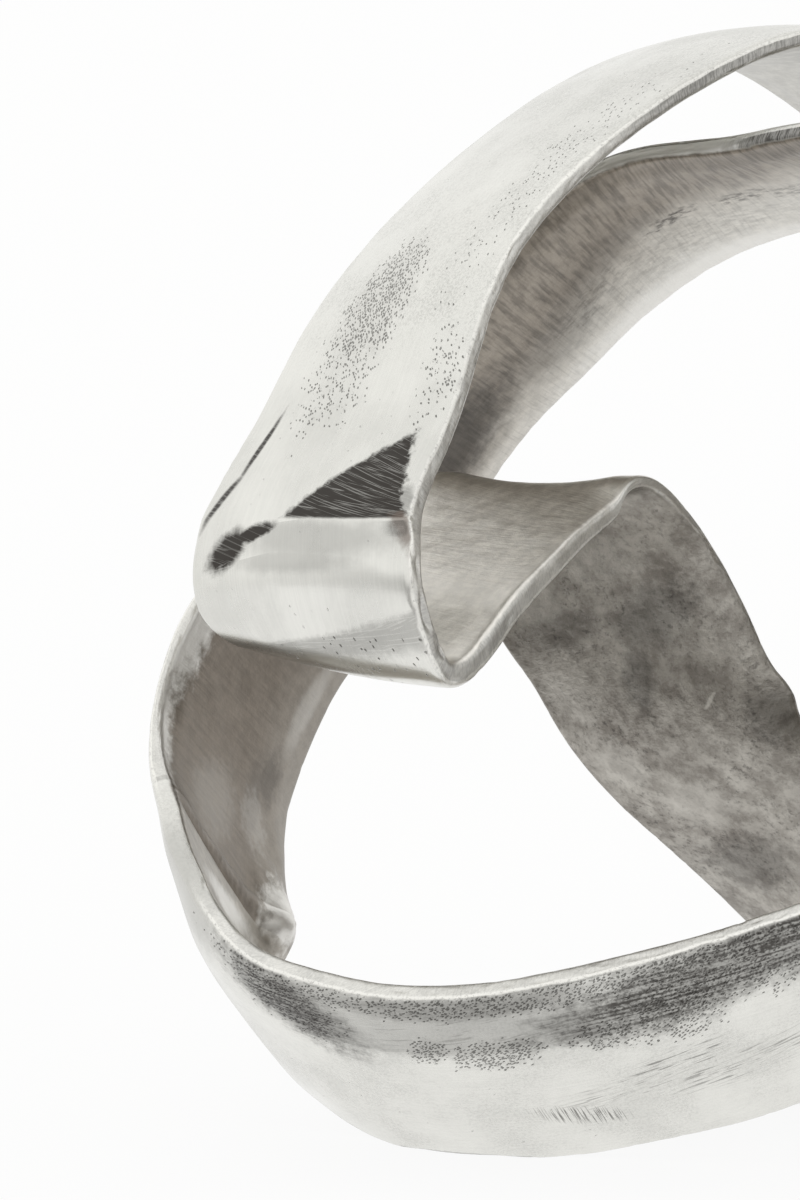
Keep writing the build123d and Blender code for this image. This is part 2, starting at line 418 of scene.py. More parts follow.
# %% Lumps, the bead at the left corner and a dent
BEAD_PLACE = (mark("return_side", 20.0), 15.0)
BEAD_SIZE = (7.0, 6.0)
BEAD_LUMPS = 0.7
BEAD_LUMP_SIZE = 3.2
BEAD_SEED = 6.4
# Place along the path, across, face (+1 outer, -1 inner), length, width, height
LUMPS = [
    (mark("return_side", 16.0), 14.5, -1, 4.0, 3.5, 1.0),
    (mark("return_side", 20.0), 18.0, -1, 3.5, 3.0, 1.3),
    (mark("return_side", 10.5), 18.5, -1, 4.5, 2.5, 0.7),
    (mark("return_side", 20.0), -16.0, -1, 1.6, 4.0, 0.5),
    (mark("nose", 4.5), -20.0, 1, 2.6, 3.0, -1.1),
    (mark("base_right", 9.0), -20.5, 1, 2.0, 2.5, -0.5),
    (mark("saddle_neck", 3.0), 20.0, -1, 9.0, 6.0, 0.8),
    (mark("base_left", 6.0), 16.0, 1, 12.0, 12.0, 0.9),
    (mark("return_corner"), 20.5, -1, 5.5, 5.0, 2.6),
    (mark("return_corner", 8.0), -20.0, 1, 9.0, 6.0, 0.9),
]
# A dent of the whole band: place along the path, across, length, width, depth
DENT = (mark("base_corner", -0.5), 18.0, 11.0, 25.0, 2.6)


def corner_bead(along, across):
    """Lumps of the bead on the inner face."""
    reach = bell(along, BEAD_PLACE[0], BEAD_SIZE[0]) * bell(across, BEAD_PLACE[1], BEAD_SIZE[1])
    return BEAD_LUMPS * reach * waves(along, across, BEAD_LUMP_SIZE, BEAD_SEED)


def lumps_and_dent(along, across, out):
    """How far lumps and the dent move a point outwards."""
    outer = outerness(out)
    place, centre, length, width, depth = DENT
    moved = -depth * bell(along, place, length) * bell(across, centre, width)
    for place, centre, face, length, width, height in LUMPS:
        lump = face * height * bell(along, place, length) * bell(across, centre, width)
        moved = moved + lump * (outer if face > 0 else 1 - outer)
    return moved


print("lumps:", len(LUMPS), "deepest dent in millimetres:", DENT[-1])

# %% All departures from the true section
OUTER_WAVE = 0.10
INNER_WAVE = 0.20
INNER_HOLLOW = 0.5
HOLLOW_MARGIN = 1.5
ROLL_WIDTH = 6.5
# How far the inner edge was rolled over, at places along the path
ROLLED_EDGES = [
    (mark("crown"), 1.2), (mark("arch_side"), 0.8), (mark("arch_foot"), 0.3),
    (mark("nose"), -0.2), (mark("fold"), -0.5), (mark("saddle_rise"), -0.1), (mark("saddle"), 1.0),
    (mark("rear_foot"), 0.8), (mark("rear_arch_start"), 1.0),
    (mark("rear_arch_side"), 0.7), (mark("return_start"), 0.9), (mark("return_side"), 1.0),
    (mark("return_side", 17.0), 0.1), (mark("base_corner"), 0.0),
    (mark("base_left"), 0.1), (mark("base_right"), 0.35), (mark("riser_low"), 0.8),
]


def face_work(along, across, bulged, out):
    """How far the faces lie outwards of the true section."""
    hollow = INNER_HOLLOW * (1 - np.minimum(np.abs(bulged) / (HALF_WIDTH - HOLLOW_MARGIN), 1.0) ** 3)
    places, amounts = zip(*ROLLED_EDGES)
    amount = np.interp(along, places, amounts, period=PATH_LENGTH)
    rolled = amount * ease(np.abs(bulged), HALF_WIDTH - ROLL_WIDTH, HALF_WIDTH)
    inside = hollow + rolled - INNER_WAVE * layered(along, across, INNER_LAYERS)
    inside = inside - corner_bead(along, bulged)
    outside = OUTER_WAVE * layered(along, across, OUTER_LAYERS)
    outside = outside + front_work(along, bulged) - corner_round(along, bulged)
    outer = outerness(out)
    moved = outer * outside + (1 - outer) * inside - edge_curl(along, bulged)
    return moved + lumps_and_dent(along, bulged, out)


def worked_section(along, across, out):
    """Moves points of the true section to where casting and filing left them."""
    bulged = bulged_rims(along, across)
    moved_across = bulged + np.sign(across) * rim_work(along, across, bulged, out)
    return moved_across, out + face_work(along, across, bulged, out)


ring = np.full(len(PROFILE), mark("base_corner"))
departure = worked_section(ring, *PROFILE.T)[1] - PROFILE[:, 1]
print("largest departure at the base corner:", round(np.abs(departure).max(), 2), "mm")

# %% [markdown]
# ## Bending a blank into a piece
# A smith bends a flat blank. The mesh does the same: a grid is made with one operator, its rows are led
# round the section and its columns along the path, and where its two long sides meet they are merged
# into a tube. The open ends are then filled, so each piece is a closed body of its own. Extruding the
# section step by step would give the same mesh with hundreds of operator calls.

# %% One function for castings and welds
FEWEST_RINGS = 8
MERGE_DISTANCE = 1e-7


def place_blank(bm, distances, shape):
    """Moves the grid's points to the band. shape gives the section at each ring."""
    rings = len(distances)
    points = len(PROFILE)
    straight = bm.verts.layers.float_vector.new("straight")
    column = np.array([round((v.co.x + 0.5) * (rings - 1)) for v in bm.verts])
    row = np.array([round((v.co.y + 0.5) * points) for v in bm.verts]) % points
    along = distances[column]
    across, out = shape(along, PROFILE[row, 0], PROFILE[row, 1])
    middle, rim, outward = band_frames(distances)
    spots = middle[column] + rim[column] * across[:, None] + outward[column] * out[:, None] - ORIGIN
    spots[:, 2] = np.maximum(spots[:, 2], 0.0)
    flat_spots = np.column_stack([along, PROFILE[row]])
    for vert, spot, flat_spot in zip(bm.verts, spots, flat_spots):
        vert.co = Vector(spot) * MILLIMETRE
        vert[straight] = Vector(flat_spot)


def bent_piece(name, start, end, spacing, shape):
    """A closed mesh of the band from start to end, as an object."""
    rings = max(FEWEST_RINGS, int((end - start) / spacing)) + 1
    bm = bmesh.new()
    bmesh.ops.create_grid(bm, x_segments=rings - 1, y_segments=len(PROFILE), size=0.5)
    place_blank(bm, np.linspace(start, end, rings), shape)
    bmesh.ops.remove_doubles(bm, verts=bm.verts, dist=MERGE_DISTANCE)
    rim_edges = [edge for edge in bm.edges if edge.is_boundary]
    bmesh.ops.holes_fill(bm, edges=rim_edges, sides=0)
    bmesh.ops.recalc_face_normals(bm, faces=bm.faces)
    for face in bm.faces:
        face.smooth = True
    for edge in rim_edges:
        edge.smooth = False
    mesh = bpy.data.meshes.new(name)
    bm.to_mesh(mesh)
    bm.free()
    piece = bpy.data.objects.new(name, mesh)
    bpy.context.scene.collection.objects.link(piece)
    return piece


print("a piece has", len(PROFILE), "points in each ring")

# %% [markdown]
# ## Castings and welds
# Each weld fills a short length of the band between two castings. Its outer face was ground flush, and
# on the inner face a bead with the ripples of the moving torch was left, dressed down at the rims. The
# bead could be a piece of its own, but a weld is one lump of metal, so it is a bulge of the weld's own
# section. Every casting runs from the end of one weld to the start of the next.

# %% Places and section of the welds
# Weld, where it starts, and the casting after it
SEAMS = [
    ("nose_weld", mark("nose", -2.0), "folded_nose_band"),
    ("descent_weld", mark("descent_middle", 6.0), "rear_foot_band"),
    ("lobe_weld", mark("lobe_start", 8.0), "right_lobe_band"),
    ("lobe_top_weld", mark("lobe_top"), "rear_arch_band"),
    ("rear_arch_weld", mark("rear_arch_fall", 10.0), "left_return_band"),
    ("corner_weld", mark("return_corner", -2.0), "front_base_band"),
    ("base_weld", mark("base_right", 10.0), "lower_riser_band"),
    ("riser_weld", mark("riser_middle", -10.0), "upper_riser_band"),
    ("crown_weld", mark("riser_end") - PATH_LENGTH, "front_arch_band"),
]
DRESSED_WIDTH = 4.0
RIPPLE_PITCH = 2.1
RIPPLE_HEIGHT = 0.16
RIPPLE_BOW = 1.2


def weld_section(start):
    """The section of a weld: the worked band with a rippled bead inside."""
    def shape(along, across, out):
        moved_across, moved_out = worked_section(along, across, out)
        share = np.clip((along - start) / WELD_LENGTH, 0.0, 1.0)
        swell = 4 * share * (1 - share)
        dressed = ease(np.abs(across), HALF_WIDTH - DRESSED_WIDTH, HALF_WIDTH)
        bowed = across + RIPPLE_BOW * np.sin(pi * share)
        ripple = RIPPLE_HEIGHT * np.sin(2 * pi * bowed / RIPPLE_PITCH)
        bead = swell * (1 - outerness(out)) * (1 - dressed) * (WELD_BEAD + ripple)
        return moved_across, moved_out - bead
    return shape


print("welds:", len(SEAMS))

# %% Make the pieces
CASTING_SPACING = 0.45
WELD_SPACING = 0.2
castings = {}
welds = {}
for index, (weld_name, start, band_name) in enumerate(SEAMS):
    finish = SEAMS[(index + 1) % len(SEAMS)][1]
    if finish < start:
        finish += PATH_LENGTH
    weld_end = start + WELD_LENGTH
    welds[weld_name] = bent_piece(weld_name + "_bead", start, weld_end, WELD_SPACING, weld_section(start))
    castings[band_name] = bent_piece(band_name + "_cast", weld_end, finish, CASTING_SPACING, worked_section)
    faces = len(castings[band_name].data.polygons)
    print(band_name, "runs", round(finish - weld_end, 1), "mm and has", faces, "faces")

# %% [markdown]
# ## Where a point lies on the straight band
# Every point carries an attribute with its place on the band as if it were still straight: along, across
# and out. Patterns that follow the metal, such as brush marks and file marks, read it, because the
# object's own coordinates would cut across the bends. Node trees grow long, so a small helper adds and
# links their nodes, and every effect that several metals use is a node group of its own.

# %% A helper that adds nodes and links them
# A Mix node has other sockets for each kind of data, with the factor always first
COLOUR_SOCKETS = (0, 6, 7)
COLOUR_RESULT = 2
VALUE_SOCKETS = (0, 2, 3)
VALUE_RESULT = 0


class Wiring:
    """Adds nodes to one tree and links them."""

    def __init__(self, tree):
        self.tree = tree

    def node(self, kind, settings=None, **inputs):
        """A new node with its settings and its inputs."""
        made = self.tree.nodes.new("ShaderNode" + kind)
        for key, value in (settings or {}).items():
            setattr(made, key, value)
        for key, value in inputs.items():
            self.feed(made.inputs[key], value)
        return made

    def feed(self, socket, value):
        """Links a socket to another one, or gives it a plain value."""
        if isinstance(value, bpy.types.NodeSocket):
            self.tree.links.new(value, socket)
        else:
            socket.default_value = value

    def fill(self, made, values):
        """Feeds the first inputs of a node in their order."""
        for socket, value in zip(made.inputs, values):
            self.feed(socket, value)
        return made.outputs

    def give(self, end, **results):
        """Feeds the named outputs of a node group."""
        for label, value in results.items():
            self.feed(end[label], value)

    def use(self, group, **inputs):
        """Outputs of a node group."""
        return self.node("Group", {"node_tree": group}, **inputs).outputs

    def math(self, operation, *values, clamp=False):
        """The result of a Math node."""
        return self.fill(self.node("Math", {"operation": operation, "use_clamp": clamp}), values)[0]

    def chain(self, operation, values):
        """Several values joined by one Math operation."""
        joined = values[0]
        for value in values[1:]:
            joined = self.math(operation, joined, value)
        return joined

    def times(self, *values):
        """The product of several values."""
        return self.chain("MULTIPLY", values)

    def sum(self, *values):
        """The sum of several values."""
        return self.chain("ADD", values)

    def most(self, *values):
        """The largest of several values."""
        return self.chain("MAXIMUM", values)

    def less(self, first, second):
        """One value less another."""
        return self.math("SUBTRACT", first, second)

    def vector(self, operation, *values):
        """The result of a Vector Math node."""
        return self.fill(self.node("VectorMath", {"operation": operation}), values)[0]

    def turned(self, vector, angle):
        """A vector turned about the outward direction."""
        return self.node("VectorRotate", {"rotation_type": "Z_AXIS"}, Vector=vector, Angle=angle).outputs[0]

    def noise(self, vector, scale, detail=2.0, roughness=0.5):
        """Smooth noise between 0 and 1."""
        made = self.node("TexNoise", Vector=vector, Scale=scale, Detail=detail, Roughness=roughness)
        return made.outputs["Fac"]

    def strokes(self, vector, length, width, detail=3.0):
        """Noise drawn out along the first axis of vector, in millimetres."""
        drawn = self.vector("MULTIPLY", vector, (1 / length, 1 / width, 1 / length))
        return self.noise(drawn, 1.0, detail)

    def ramp(self, value, start, end, low=0.0, high=1.0):
        """A smooth step of value from start to end, between low and high."""
        made = self.node("MapRange", {"interpolation_type": "SMOOTHSTEP"})
        return self.fill(made, (value, start, end, low, high))["Result"]

    def mix(self, settings, sockets, values):
        """A Mix node with its factor and its two sides fed, as outputs."""
        made = self.node("Mix", settings)
        for place, value in zip(sockets, values):
            self.feed(made.inputs[place], value)
        return made.outputs

    def blend(self, factor, first, second):
        """Mixes two colours."""
        return self.mix({"data_type": "RGBA"}, COLOUR_SOCKETS, (factor, first, second))[COLOUR_RESULT]

    def shade(self, colour, value):
        """A colour times a value."""
        settings = {"data_type": "RGBA", "blend_type": "MULTIPLY"}
        return self.mix(settings, COLOUR_SOCKETS, (1.0, colour, value))[COLOUR_RESULT]

    def between(self, factor, first, second):
        """Mixes two values."""
        return self.mix({"data_type": "FLOAT"}, VALUE_SOCKETS, (factor, first, second))[VALUE_RESULT]


print("helper for node trees:", Wiring.__doc__)

# %% A new node group
SOCKETS = {"value": "NodeSocketFloat", "vector": "NodeSocketVector", "color": "NodeSocketColor"}
SKIN_RESULTS = {"Colour": "color", "Roughness": "value", "Height": "value"}
MASK = {"Mask": "value"}


def effect(name, inputs, outputs):
    """A new node group with named sockets, and its two ends."""
    tree = bpy.data.node_groups.new(name, "ShaderNodeTree")
    for label, kind in inputs.items():
        tree.interface.new_socket(label, in_out="INPUT", socket_type=SOCKETS[kind])
    for label, kind in outputs.items():
        tree.interface.new_socket(label, in_out="OUTPUT", socket_type=SOCKETS[kind])
    start = tree.nodes.new("NodeGroupInput")
    end = tree.nodes.new("NodeGroupOutput")
    return Wiring(tree), start.outputs, end.inputs


print("kinds of sockets:", ", ".join(SOCKETS))

# %% Zones of the section
# Heights above the middle of the band where a face or the bright corner of a rim begins and is full. The
# corner is bright partly as bared metal and partly as a painted highlight
FACE_BEGIN = 1.3
FACE_FULL = 1.75
CORNER_BEGIN = 0.65
CORNER_BRIGHT = 1.05
BORDER_WANDER = 0.7


def make_zones():
    """Masks of the inner face, the rims and their corners, and the place on the straight band."""
    outputs = {"Straight": "vector", "Along": "value", "Inner": "value", "Rim": "value", "Corner": "value"}
    wires, _, end = effect("band zones", {}, outputs)
    straight = wires.node("Attribute", {"attribute_name": "straight"}).outputs["Vector"]
    parts = wires.node("SeparateXYZ", Vector=straight).outputs
    wander = wires.less(wires.noise(straight, 0.35, 3.0, 0.6), 0.5)
    out = wires.sum(parts["Z"], wires.times(wander, BORDER_WANDER))
    outer = wires.ramp(out, FACE_BEGIN, FACE_FULL)
    inner = wires.ramp(out, -FACE_BEGIN, -FACE_FULL)
    rim = wires.math("SUBTRACT", 1.0, wires.sum(outer, inner), clamp=True)
    corner = wires.times(rim, wires.ramp(out, CORNER_BEGIN, CORNER_BRIGHT))
    wires.give(end, Straight=straight, Along=parts["X"], Inner=inner, Rim=rim, Corner=corner)
    return wires.tree


zones = make_zones()
print("node group:", zones.name)

# %% [markdown]
# ## Polished outer face
# The outer face was sanded lengthwise and then buffed. Seen closely it is a satin mirror: faint lines of
# the last grit, a fine grain of open pores and broad clouds where the wheel pressed more or less. All of
# it is small beside the band, so it is drawn by noise in the shader and not by the mesh.

# %% Polished skin
# Strokes have a length and a width, and all lengths and heights are in millimetres
GRIT_STROKE = (16.0, 0.28)
GRIT_HEIGHT = 0.007
HATCH_STROKE = (7.0, 0.35)
HATCH_TURN = radians(82.0)
HATCH_HEIGHT = 0.008
GRAIN_HEIGHT = 0.020


def make_polished_skin():
    """Tone, roughness and relief of buffed metal."""
    outputs = {"Tone": "value", "Roughness": "value", "Height": "value"}
    wires, start, end = effect("polished skin", {"Straight": "vector", "Grain": "value"}, outputs)
    straight = start["Straight"]
    grit = wires.strokes(straight, *GRIT_STROKE)
    hatch = wires.strokes(wires.turned(straight, HATCH_TURN), *HATCH_STROKE)
    grain = wires.noise(straight, 2.3, 3.0, 0.65)
    clouds = wires.noise(straight, 0.07, 4.0, 0.6)
    matte = wires.ramp(clouds, 0.38, 0.60)
    grain_tone = wires.times(wires.ramp(grain, 0.34, 0.60, -1.0, 0.5), start["Grain"])
    tone = wires.sum(
        wires.ramp(clouds, 0.3, 0.7, 0.04, -0.07),
        wires.times(grain_tone, wires.ramp(matte, 0.0, 1.0, 0.04, 0.13)),
        wires.ramp(grit, 0.3, 0.7, 0.98, 1.02),
    )
    roughness = wires.sum(wires.ramp(clouds, 0.3, 0.75, 0.16, 0.28), wires.times(grit, 0.06))
    height = wires.sum(
        wires.times(grit, GRIT_HEIGHT),
        wires.times(hatch, HATCH_HEIGHT),
        wires.times(grain, start["Grain"], GRAIN_HEIGHT),
    )
    wires.give(end, Tone=tone, Roughness=roughness, Height=height)
    return wires.tree


polished_skin = make_polished_skin()
print("node group:", polished_skin.name)

# %% [markdown]
# ## Cast skin
# Where the wheel didn't reach, the metal keeps the skin of the sand mould: grey, blotchy and full of fine
# dark specks. Two noises of different size give the blotches and the specks, and both also raise the
# surface, so the light breaks up on it. A sculpted mesh would need far more points for the same grain.

# %% Cast skin
BLOTCH_HEIGHT = 0.26
SPECK_HEIGHT = 0.10


def make_cast_skin():
    """Colour, roughness and relief of metal as it left the mould."""
    inputs = {"Straight": "vector", "Dark": "color", "Light": "color"}
    wires, start, end = effect("cast skin", inputs, SKIN_RESULTS)
    straight = start["Straight"]
    clouds = wires.noise(straight, 0.075, 5.0, 0.60)
    blotches = wires.noise(straight, 0.26, 6.0, 0.68)
    specks = wires.noise(straight, 1.1, 4.0, 0.65)
    share = wires.sum(wires.ramp(clouds, 0.34, 0.66, 0.0, 0.4), wires.ramp(blotches, 0.36, 0.64, 0.0, 0.6))
    colour = wires.blend(share, start["Dark"], start["Light"])
    gathered = wires.ramp(wires.noise(straight, 0.11, 3.0, 0.5), 0.40, 0.62, 0.12, 0.42)
    speckled = wires.times(wires.ramp(specks, 0.50, 0.68), gathered)
    colour = wires.shade(colour, wires.less(1.02, speckled))
    roughness = wires.sum(0.34, wires.times(specks, 0.22))
    height = wires.sum(wires.times(blotches, BLOTCH_HEIGHT), wires.times(specks, SPECK_HEIGHT))
    wires.give(end, Colour=colour, Roughness=roughness, Height=height)
    return wires.tree


cast_skin = make_cast_skin()
print("node group:", cast_skin.name)

# %% [markdown]
# ## Brushed inner face
# The inside of the band was only brushed, nearly straight across, with a stiff wire brush. Soft dark
# strokes lie over the half beside the near rim, which is darkened by painted shade, a painted shadow of a
# valley follows a line along the band, and beyond it painted light makes the metal paler towards the far
# rim. A turned wave texture would give even lines, so the strokes are noise that is drawn out across the
# band.

# %% Brushed skin
BRUSH_STROKE = (6.0, 0.8)
BRUSH_TURN = radians(97.0)
BRUSH_DETAIL = 2.5
BRUSH_HEIGHT = 0.05
HAIR_STROKE = (7.0, 0.40)
HAIR_TURN = radians(96.0)
HAIR_HEIGHT = 0.02
MOTTLE_HEIGHT = 0.10
VALLEY_WANDER = 7.0


def make_brushed_skin():
    """Colour, roughness and relief of metal under a wire brush, with painted shade and light across it."""
    inputs = {
        "Straight": "vector", "Pivot": "value", "Split": "value", "Drift": "value",
        "Brush": "value", "Dark": "color", "Light": "color",
    }
    wires, start, end = effect("brushed skin", inputs, SKIN_RESULTS)
    straight = start["Straight"]
    parts = wires.node("SeparateXYZ", Vector=straight).outputs
    drift = wires.times(wires.less(parts["X"], start["Pivot"]), start["Drift"])
    clouds = wires.noise(straight, 0.14, 4.0, 0.6)
    mottle = wires.noise(straight, 0.42, 6.0, 0.68)
    strokes = wires.strokes(wires.turned(straight, BRUSH_TURN), *BRUSH_STROKE, BRUSH_DETAIL)
    hairs = wires.strokes(wires.turned(straight, HAIR_TURN), *HAIR_STROKE)
    wander = wires.times(wires.less(clouds, 0.5), VALLEY_WANDER)
    beyond = wires.less(wires.sum(parts["Y"], wander), wires.sum(start["Split"], drift))
    # Painted shade on the near half and painted light growing towards the far rim
    lit_far_half = wires.ramp(beyond, -4.0, 7.0)
    far_rim_light = wires.ramp(beyond, 0.0, 18.0, 0.45, 1.0)
    colour = wires.blend(wires.times(lit_far_half, far_rim_light), start["Dark"], start["Light"])
    marks = wires.times(wires.ramp(strokes, 0.38, 0.66), wires.ramp(lit_far_half, 0.0, 1.0, 0.33, 0.06))
    marks = wires.sum(marks, wires.times(wires.ramp(hairs, 0.50, 0.68), 0.12))
    # A painted shadow of a valley along that line
    valley = wires.times(wires.ramp(wires.math("ABSOLUTE", wires.sum(beyond, 3.0)), 9.0, 0.5), 0.10)
    darker = wires.times(wires.sum(marks, valley), start["Brush"])
    tone = wires.times(wires.less(1.0, darker), wires.ramp(mottle, 0.35, 0.68, 0.90, 1.10))
    roughness = wires.sum(0.30, wires.times(mottle, 0.20))
    height = wires.sum(
        wires.times(strokes, BRUSH_HEIGHT),
        wires.times(hairs, HAIR_HEIGHT),
        wires.times(mottle, MOTTLE_HEIGHT),
    )
    wires.give(end, Colour=wires.shade(colour, tone), Roughness=roughness, Height=height)
    return wires.tree


brushed_skin = make_brushed_skin()
print("node group:", brushed_skin.name)

# %% [markdown]
# ## Filed rims
# The rims were dressed with a file, slantwise and straight across, and then rubbed until they were soft to
# the hand. The flats are light grey with fine marks, and the outer corner of each rim is brighter, partly
# where handling has bared the metal and partly as a painted highlight of the rounded corner. The file marks
# are strokes as on the inner face, but on a rim they have to lie in the plane of along and out, so two
# coordinates change places first.

# %% Filed rim
SLANT_FILE = (4.0, 0.22)
SLANT_FILE_TURN = radians(40.0)
CROSS_FILE = (3.0, 0.24)
CROSS_FILE_TURN = radians(80.0)
FILE_HEIGHT = 0.02
RIM_GRAIN_HEIGHT = 0.015
BARED_AND_HIGHLIGHT_TONE = 1.13


def make_filed_rim():
    """Tone, roughness, relief and file lines of the rims."""
    outputs = {"Tone": "value", "Roughness": "value", "Height": "value", "Lines": "value"}
    wires, start, end = effect("filed rim", {"Straight": "vector", "Corner": "value"}, outputs)
    straight = start["Straight"]
    parts = wires.node("SeparateXYZ", Vector=straight).outputs
    flat = wires.node("CombineXYZ", X=parts["X"], Y=parts["Z"], Z=parts["Y"]).outputs[0]
    slantwise = wires.strokes(wires.turned(flat, SLANT_FILE_TURN), *SLANT_FILE)
    crosswise = wires.strokes(wires.turned(flat, CROSS_FILE_TURN), *CROSS_FILE)
    grime = wires.noise(straight, 0.25, 5.0, 0.65)
    grain = wires.noise(straight, 2.0, 3.0, 0.65)
    tone = wires.times(
        wires.ramp(wires.most(wires.ramp(slantwise, 0.48, 0.66), wires.ramp(crosswise, 0.50, 0.66)),
                   0.0, 1.0, 1.0, 0.90),
        wires.ramp(grime, 0.34, 0.60, 0.86, 1.0),
        wires.ramp(grain, 0.36, 0.60, 0.94, 1.02),
    )
    # The corner is brighter: partly bared metal, partly a painted highlight of the rounded corner
    bared_and_highlit = wires.times(start["Corner"], wires.ramp(grain, 0.36, 0.50))
    tone = wires.between(bared_and_highlit, tone, BARED_AND_HIGHLIGHT_TONE)
    roughness = wires.sum(0.30, wires.times(grime, 0.25))
    height = wires.sum(
        wires.times(slantwise, FILE_HEIGHT),
        wires.times(crosswise, FILE_HEIGHT),
        wires.times(grain, RIM_GRAIN_HEIGHT),
    )
    lines = wires.ramp(crosswise, 0.42, 0.60)
    wires.give(end, Tone=tone, Roughness=roughness, Height=height, Lines=lines)
    return wires.tree


filed_rim = make_filed_rim()
print("node group:", filed_rim.name)

# %% [markdown]
# ## Patches, pits and scratches
# Some marks lie at a certain place: a cluster of casting pits, a corner painted dark as a reflection,
# a group of scratches.
# They could be painted on an image, but an image has one resolution and has to be kept with the file. So
# a soft patch is an ellipse on the straight band with a ragged edge, and straight edges bound a patch
# with corners. The pits are small cells, of which more are chosen inside a patch than outside it.

# %% Soft patch
PATCH_FULL = 0.35
# A patch reaches through the thickness of the band
ON_SURFACE = (1, 1, 0)


def from_centre(wires, start):
    """Where a point lies from the centre of a mark, turned by the slant of the mark."""
    centre = wires.node("CombineXYZ", X=start["Along"], Y=start["Across"]).outputs[0]
    return wires.turned(wires.vector("SUBTRACT", start["Straight"], centre), start["Slant"])


def make_soft_patch():
    """Mask of an ellipse with a soft and ragged edge."""
    inputs = {
        "Straight": "vector", "Along": "value", "Across": "value", "Length": "value",
        "Width": "value", "Slant": "value", "Ragged": "value",
    }
    wires, start, end = effect("soft patch", inputs, MASK)
    size = wires.node("CombineXYZ", X=start["Length"], Y=start["Width"], Z=1.0).outputs[0]
    scaled = wires.vector("MULTIPLY", wires.vector("DIVIDE", from_centre(wires, start), size), ON_SURFACE)
    distance = wires.node("VectorMath", {"operation": "LENGTH"}, Vector=scaled).outputs["Value"]
    edge = wires.less(wires.noise(start["Straight"], 0.45, 5.0, 0.65), 0.5)
    ragged = wires.sum(distance, wires.times(edge, start["Ragged"]))
    wires.give(end, Mask=wires.ramp(ragged, 1.0, PATCH_FULL))
    return wires.tree


soft_patch = make_soft_patch()
print("node group:", soft_patch.name)

# %% Straight edge
def make_straight_edge():
    """Mask of one side of a straight, ragged edge."""
    inputs = {
        "Straight": "vector", "Along": "value", "Across": "value",
        "Slant": "value", "Soft": "value", "Ragged": "value",
    }
    wires, start, end = effect("straight edge", inputs, MASK)
    inside = wires.node("SeparateXYZ", Vector=from_centre(wires, start)).outputs["Y"]
    edge = wires.less(wires.noise(start["Straight"], 0.6, 5.0, 0.7), 0.5)
    inside = wires.sum(inside, wires.times(edge, start["Ragged"]))
    wires.give(end, Mask=wires.ramp(inside, 0.0, start["Soft"]))
    return wires.tree


straight_edge = make_straight_edge()
print("node group:", straight_edge.name)

# %% Casting pits
PIT_TURN = radians(35.0)
# Cells to the millimetre in the two directions of the pattern, which has no depth
PIT_CELLS = (1.5, 2.6, 1.0)
PIT_RAGGED = 0.5


def make_casting_pits():
    """Mask of small pits, more of them where the density is higher."""
    wires, start, end = effect("casting pits", {"Straight": "vector", "Density": "value"}, MASK)
    straight = start["Straight"]
    spread = wires.vector("MULTIPLY", wires.turned(straight, PIT_TURN), PIT_CELLS)
    cells = wires.node("TexVoronoi", {"voronoi_dimensions": "2D"}, Vector=spread, Scale=1.0).outputs
    chance = wires.node("SeparateColor", Color=cells["Color"]).outputs["Red"]
    coarse = wires.noise(straight, 0.9, 3.0, 0.7)
    crowd = wires.times(start["Density"], wires.ramp(coarse, 0.35, 0.60, 0.15, 0.90))
    chosen = wires.ramp(wires.less(crowd, chance), 0.0, 0.02)
    ragged = wires.sum(cells["Distance"], wires.times(wires.noise(straight, 3.0), PIT_RAGGED))
    wires.give(end, Mask=wires.times(chosen, wires.ramp(ragged, 0.75, 0.50)))
    return wires.tree


casting_pits = make_casting_pits()
print("node group:", casting_pits.name)

# %% Scratches
LONG_SCRATCH = (16.0, 0.17)
SHORT_SCRATCH = (6.0, 0.20)
SHORT_SCRATCH_TURN = 0.14
SCRATCH_DETAIL = 1.0


def make_scratches():
    """Mask of long and short scratches along a slant."""
    wires, start, end = effect("scratches", {"Straight": "vector", "Slant": "value"}, MASK)
    straight = start["Straight"]
    long = wires.strokes(wires.turned(straight, start["Slant"]), *LONG_SCRATCH, SCRATCH_DETAIL)
    aside = wires.sum(start["Slant"], SHORT_SCRATCH_TURN)
    short = wires.strokes(wires.turned(straight, aside), *SHORT_SCRATCH, SCRATCH_DETAIL)
    wires.give(end, Mask=wires.most(wires.ramp(long, 0.57, 0.68), wires.ramp(short, 0.60, 0.72)))
    return wires.tree


scratches = make_scratches()
print("node group:", scratches.name)

# %% [markdown]
# ## One metal for each casting
# All castings share the same finishes, but each was worked on its own, so each gets a material with its
# own tones and its own marks. One material for all would need every mark on every piece. A mark is a row
# of numbers: place along and across, length, width, slant in degrees, raggedness and strength. The
# functions below turn such rows into masks and lay each kind of mark over the finish under it.

# %% Masks from rows of marks
def patches(wires, straight, rows):
    """The strongest of several soft patches, or 0 where there are none."""
    masks = []
    for along, across, length, width, slant, ragged, strength in rows:
        patch = wires.use(soft_patch, Straight=straight, Along=along, Across=across, Length=length,
                          Width=width, Slant=radians(slant), Ragged=ragged)
        masks.append(wires.times(patch["Mask"], strength))
    return wires.most(*masks) if masks else 0.0


def cornered(wires, straight, edges):
    """A patch inside several straight edges."""
    masks = []
    for along, across, slant, soft, ragged in edges:
        edge = wires.use(straight_edge, Straight=straight, Along=along, Across=across,
                         Slant=radians(slant), Soft=soft, Ragged=ragged)
        masks.append(edge["Mask"])
    return wires.times(*masks)


print("masks are made by:", patches.__name__, "and", cornered.__name__)

# %% Cast skin that takes over along the path
CAST_PALE = (0.74, 0.715, 0.66, 1)


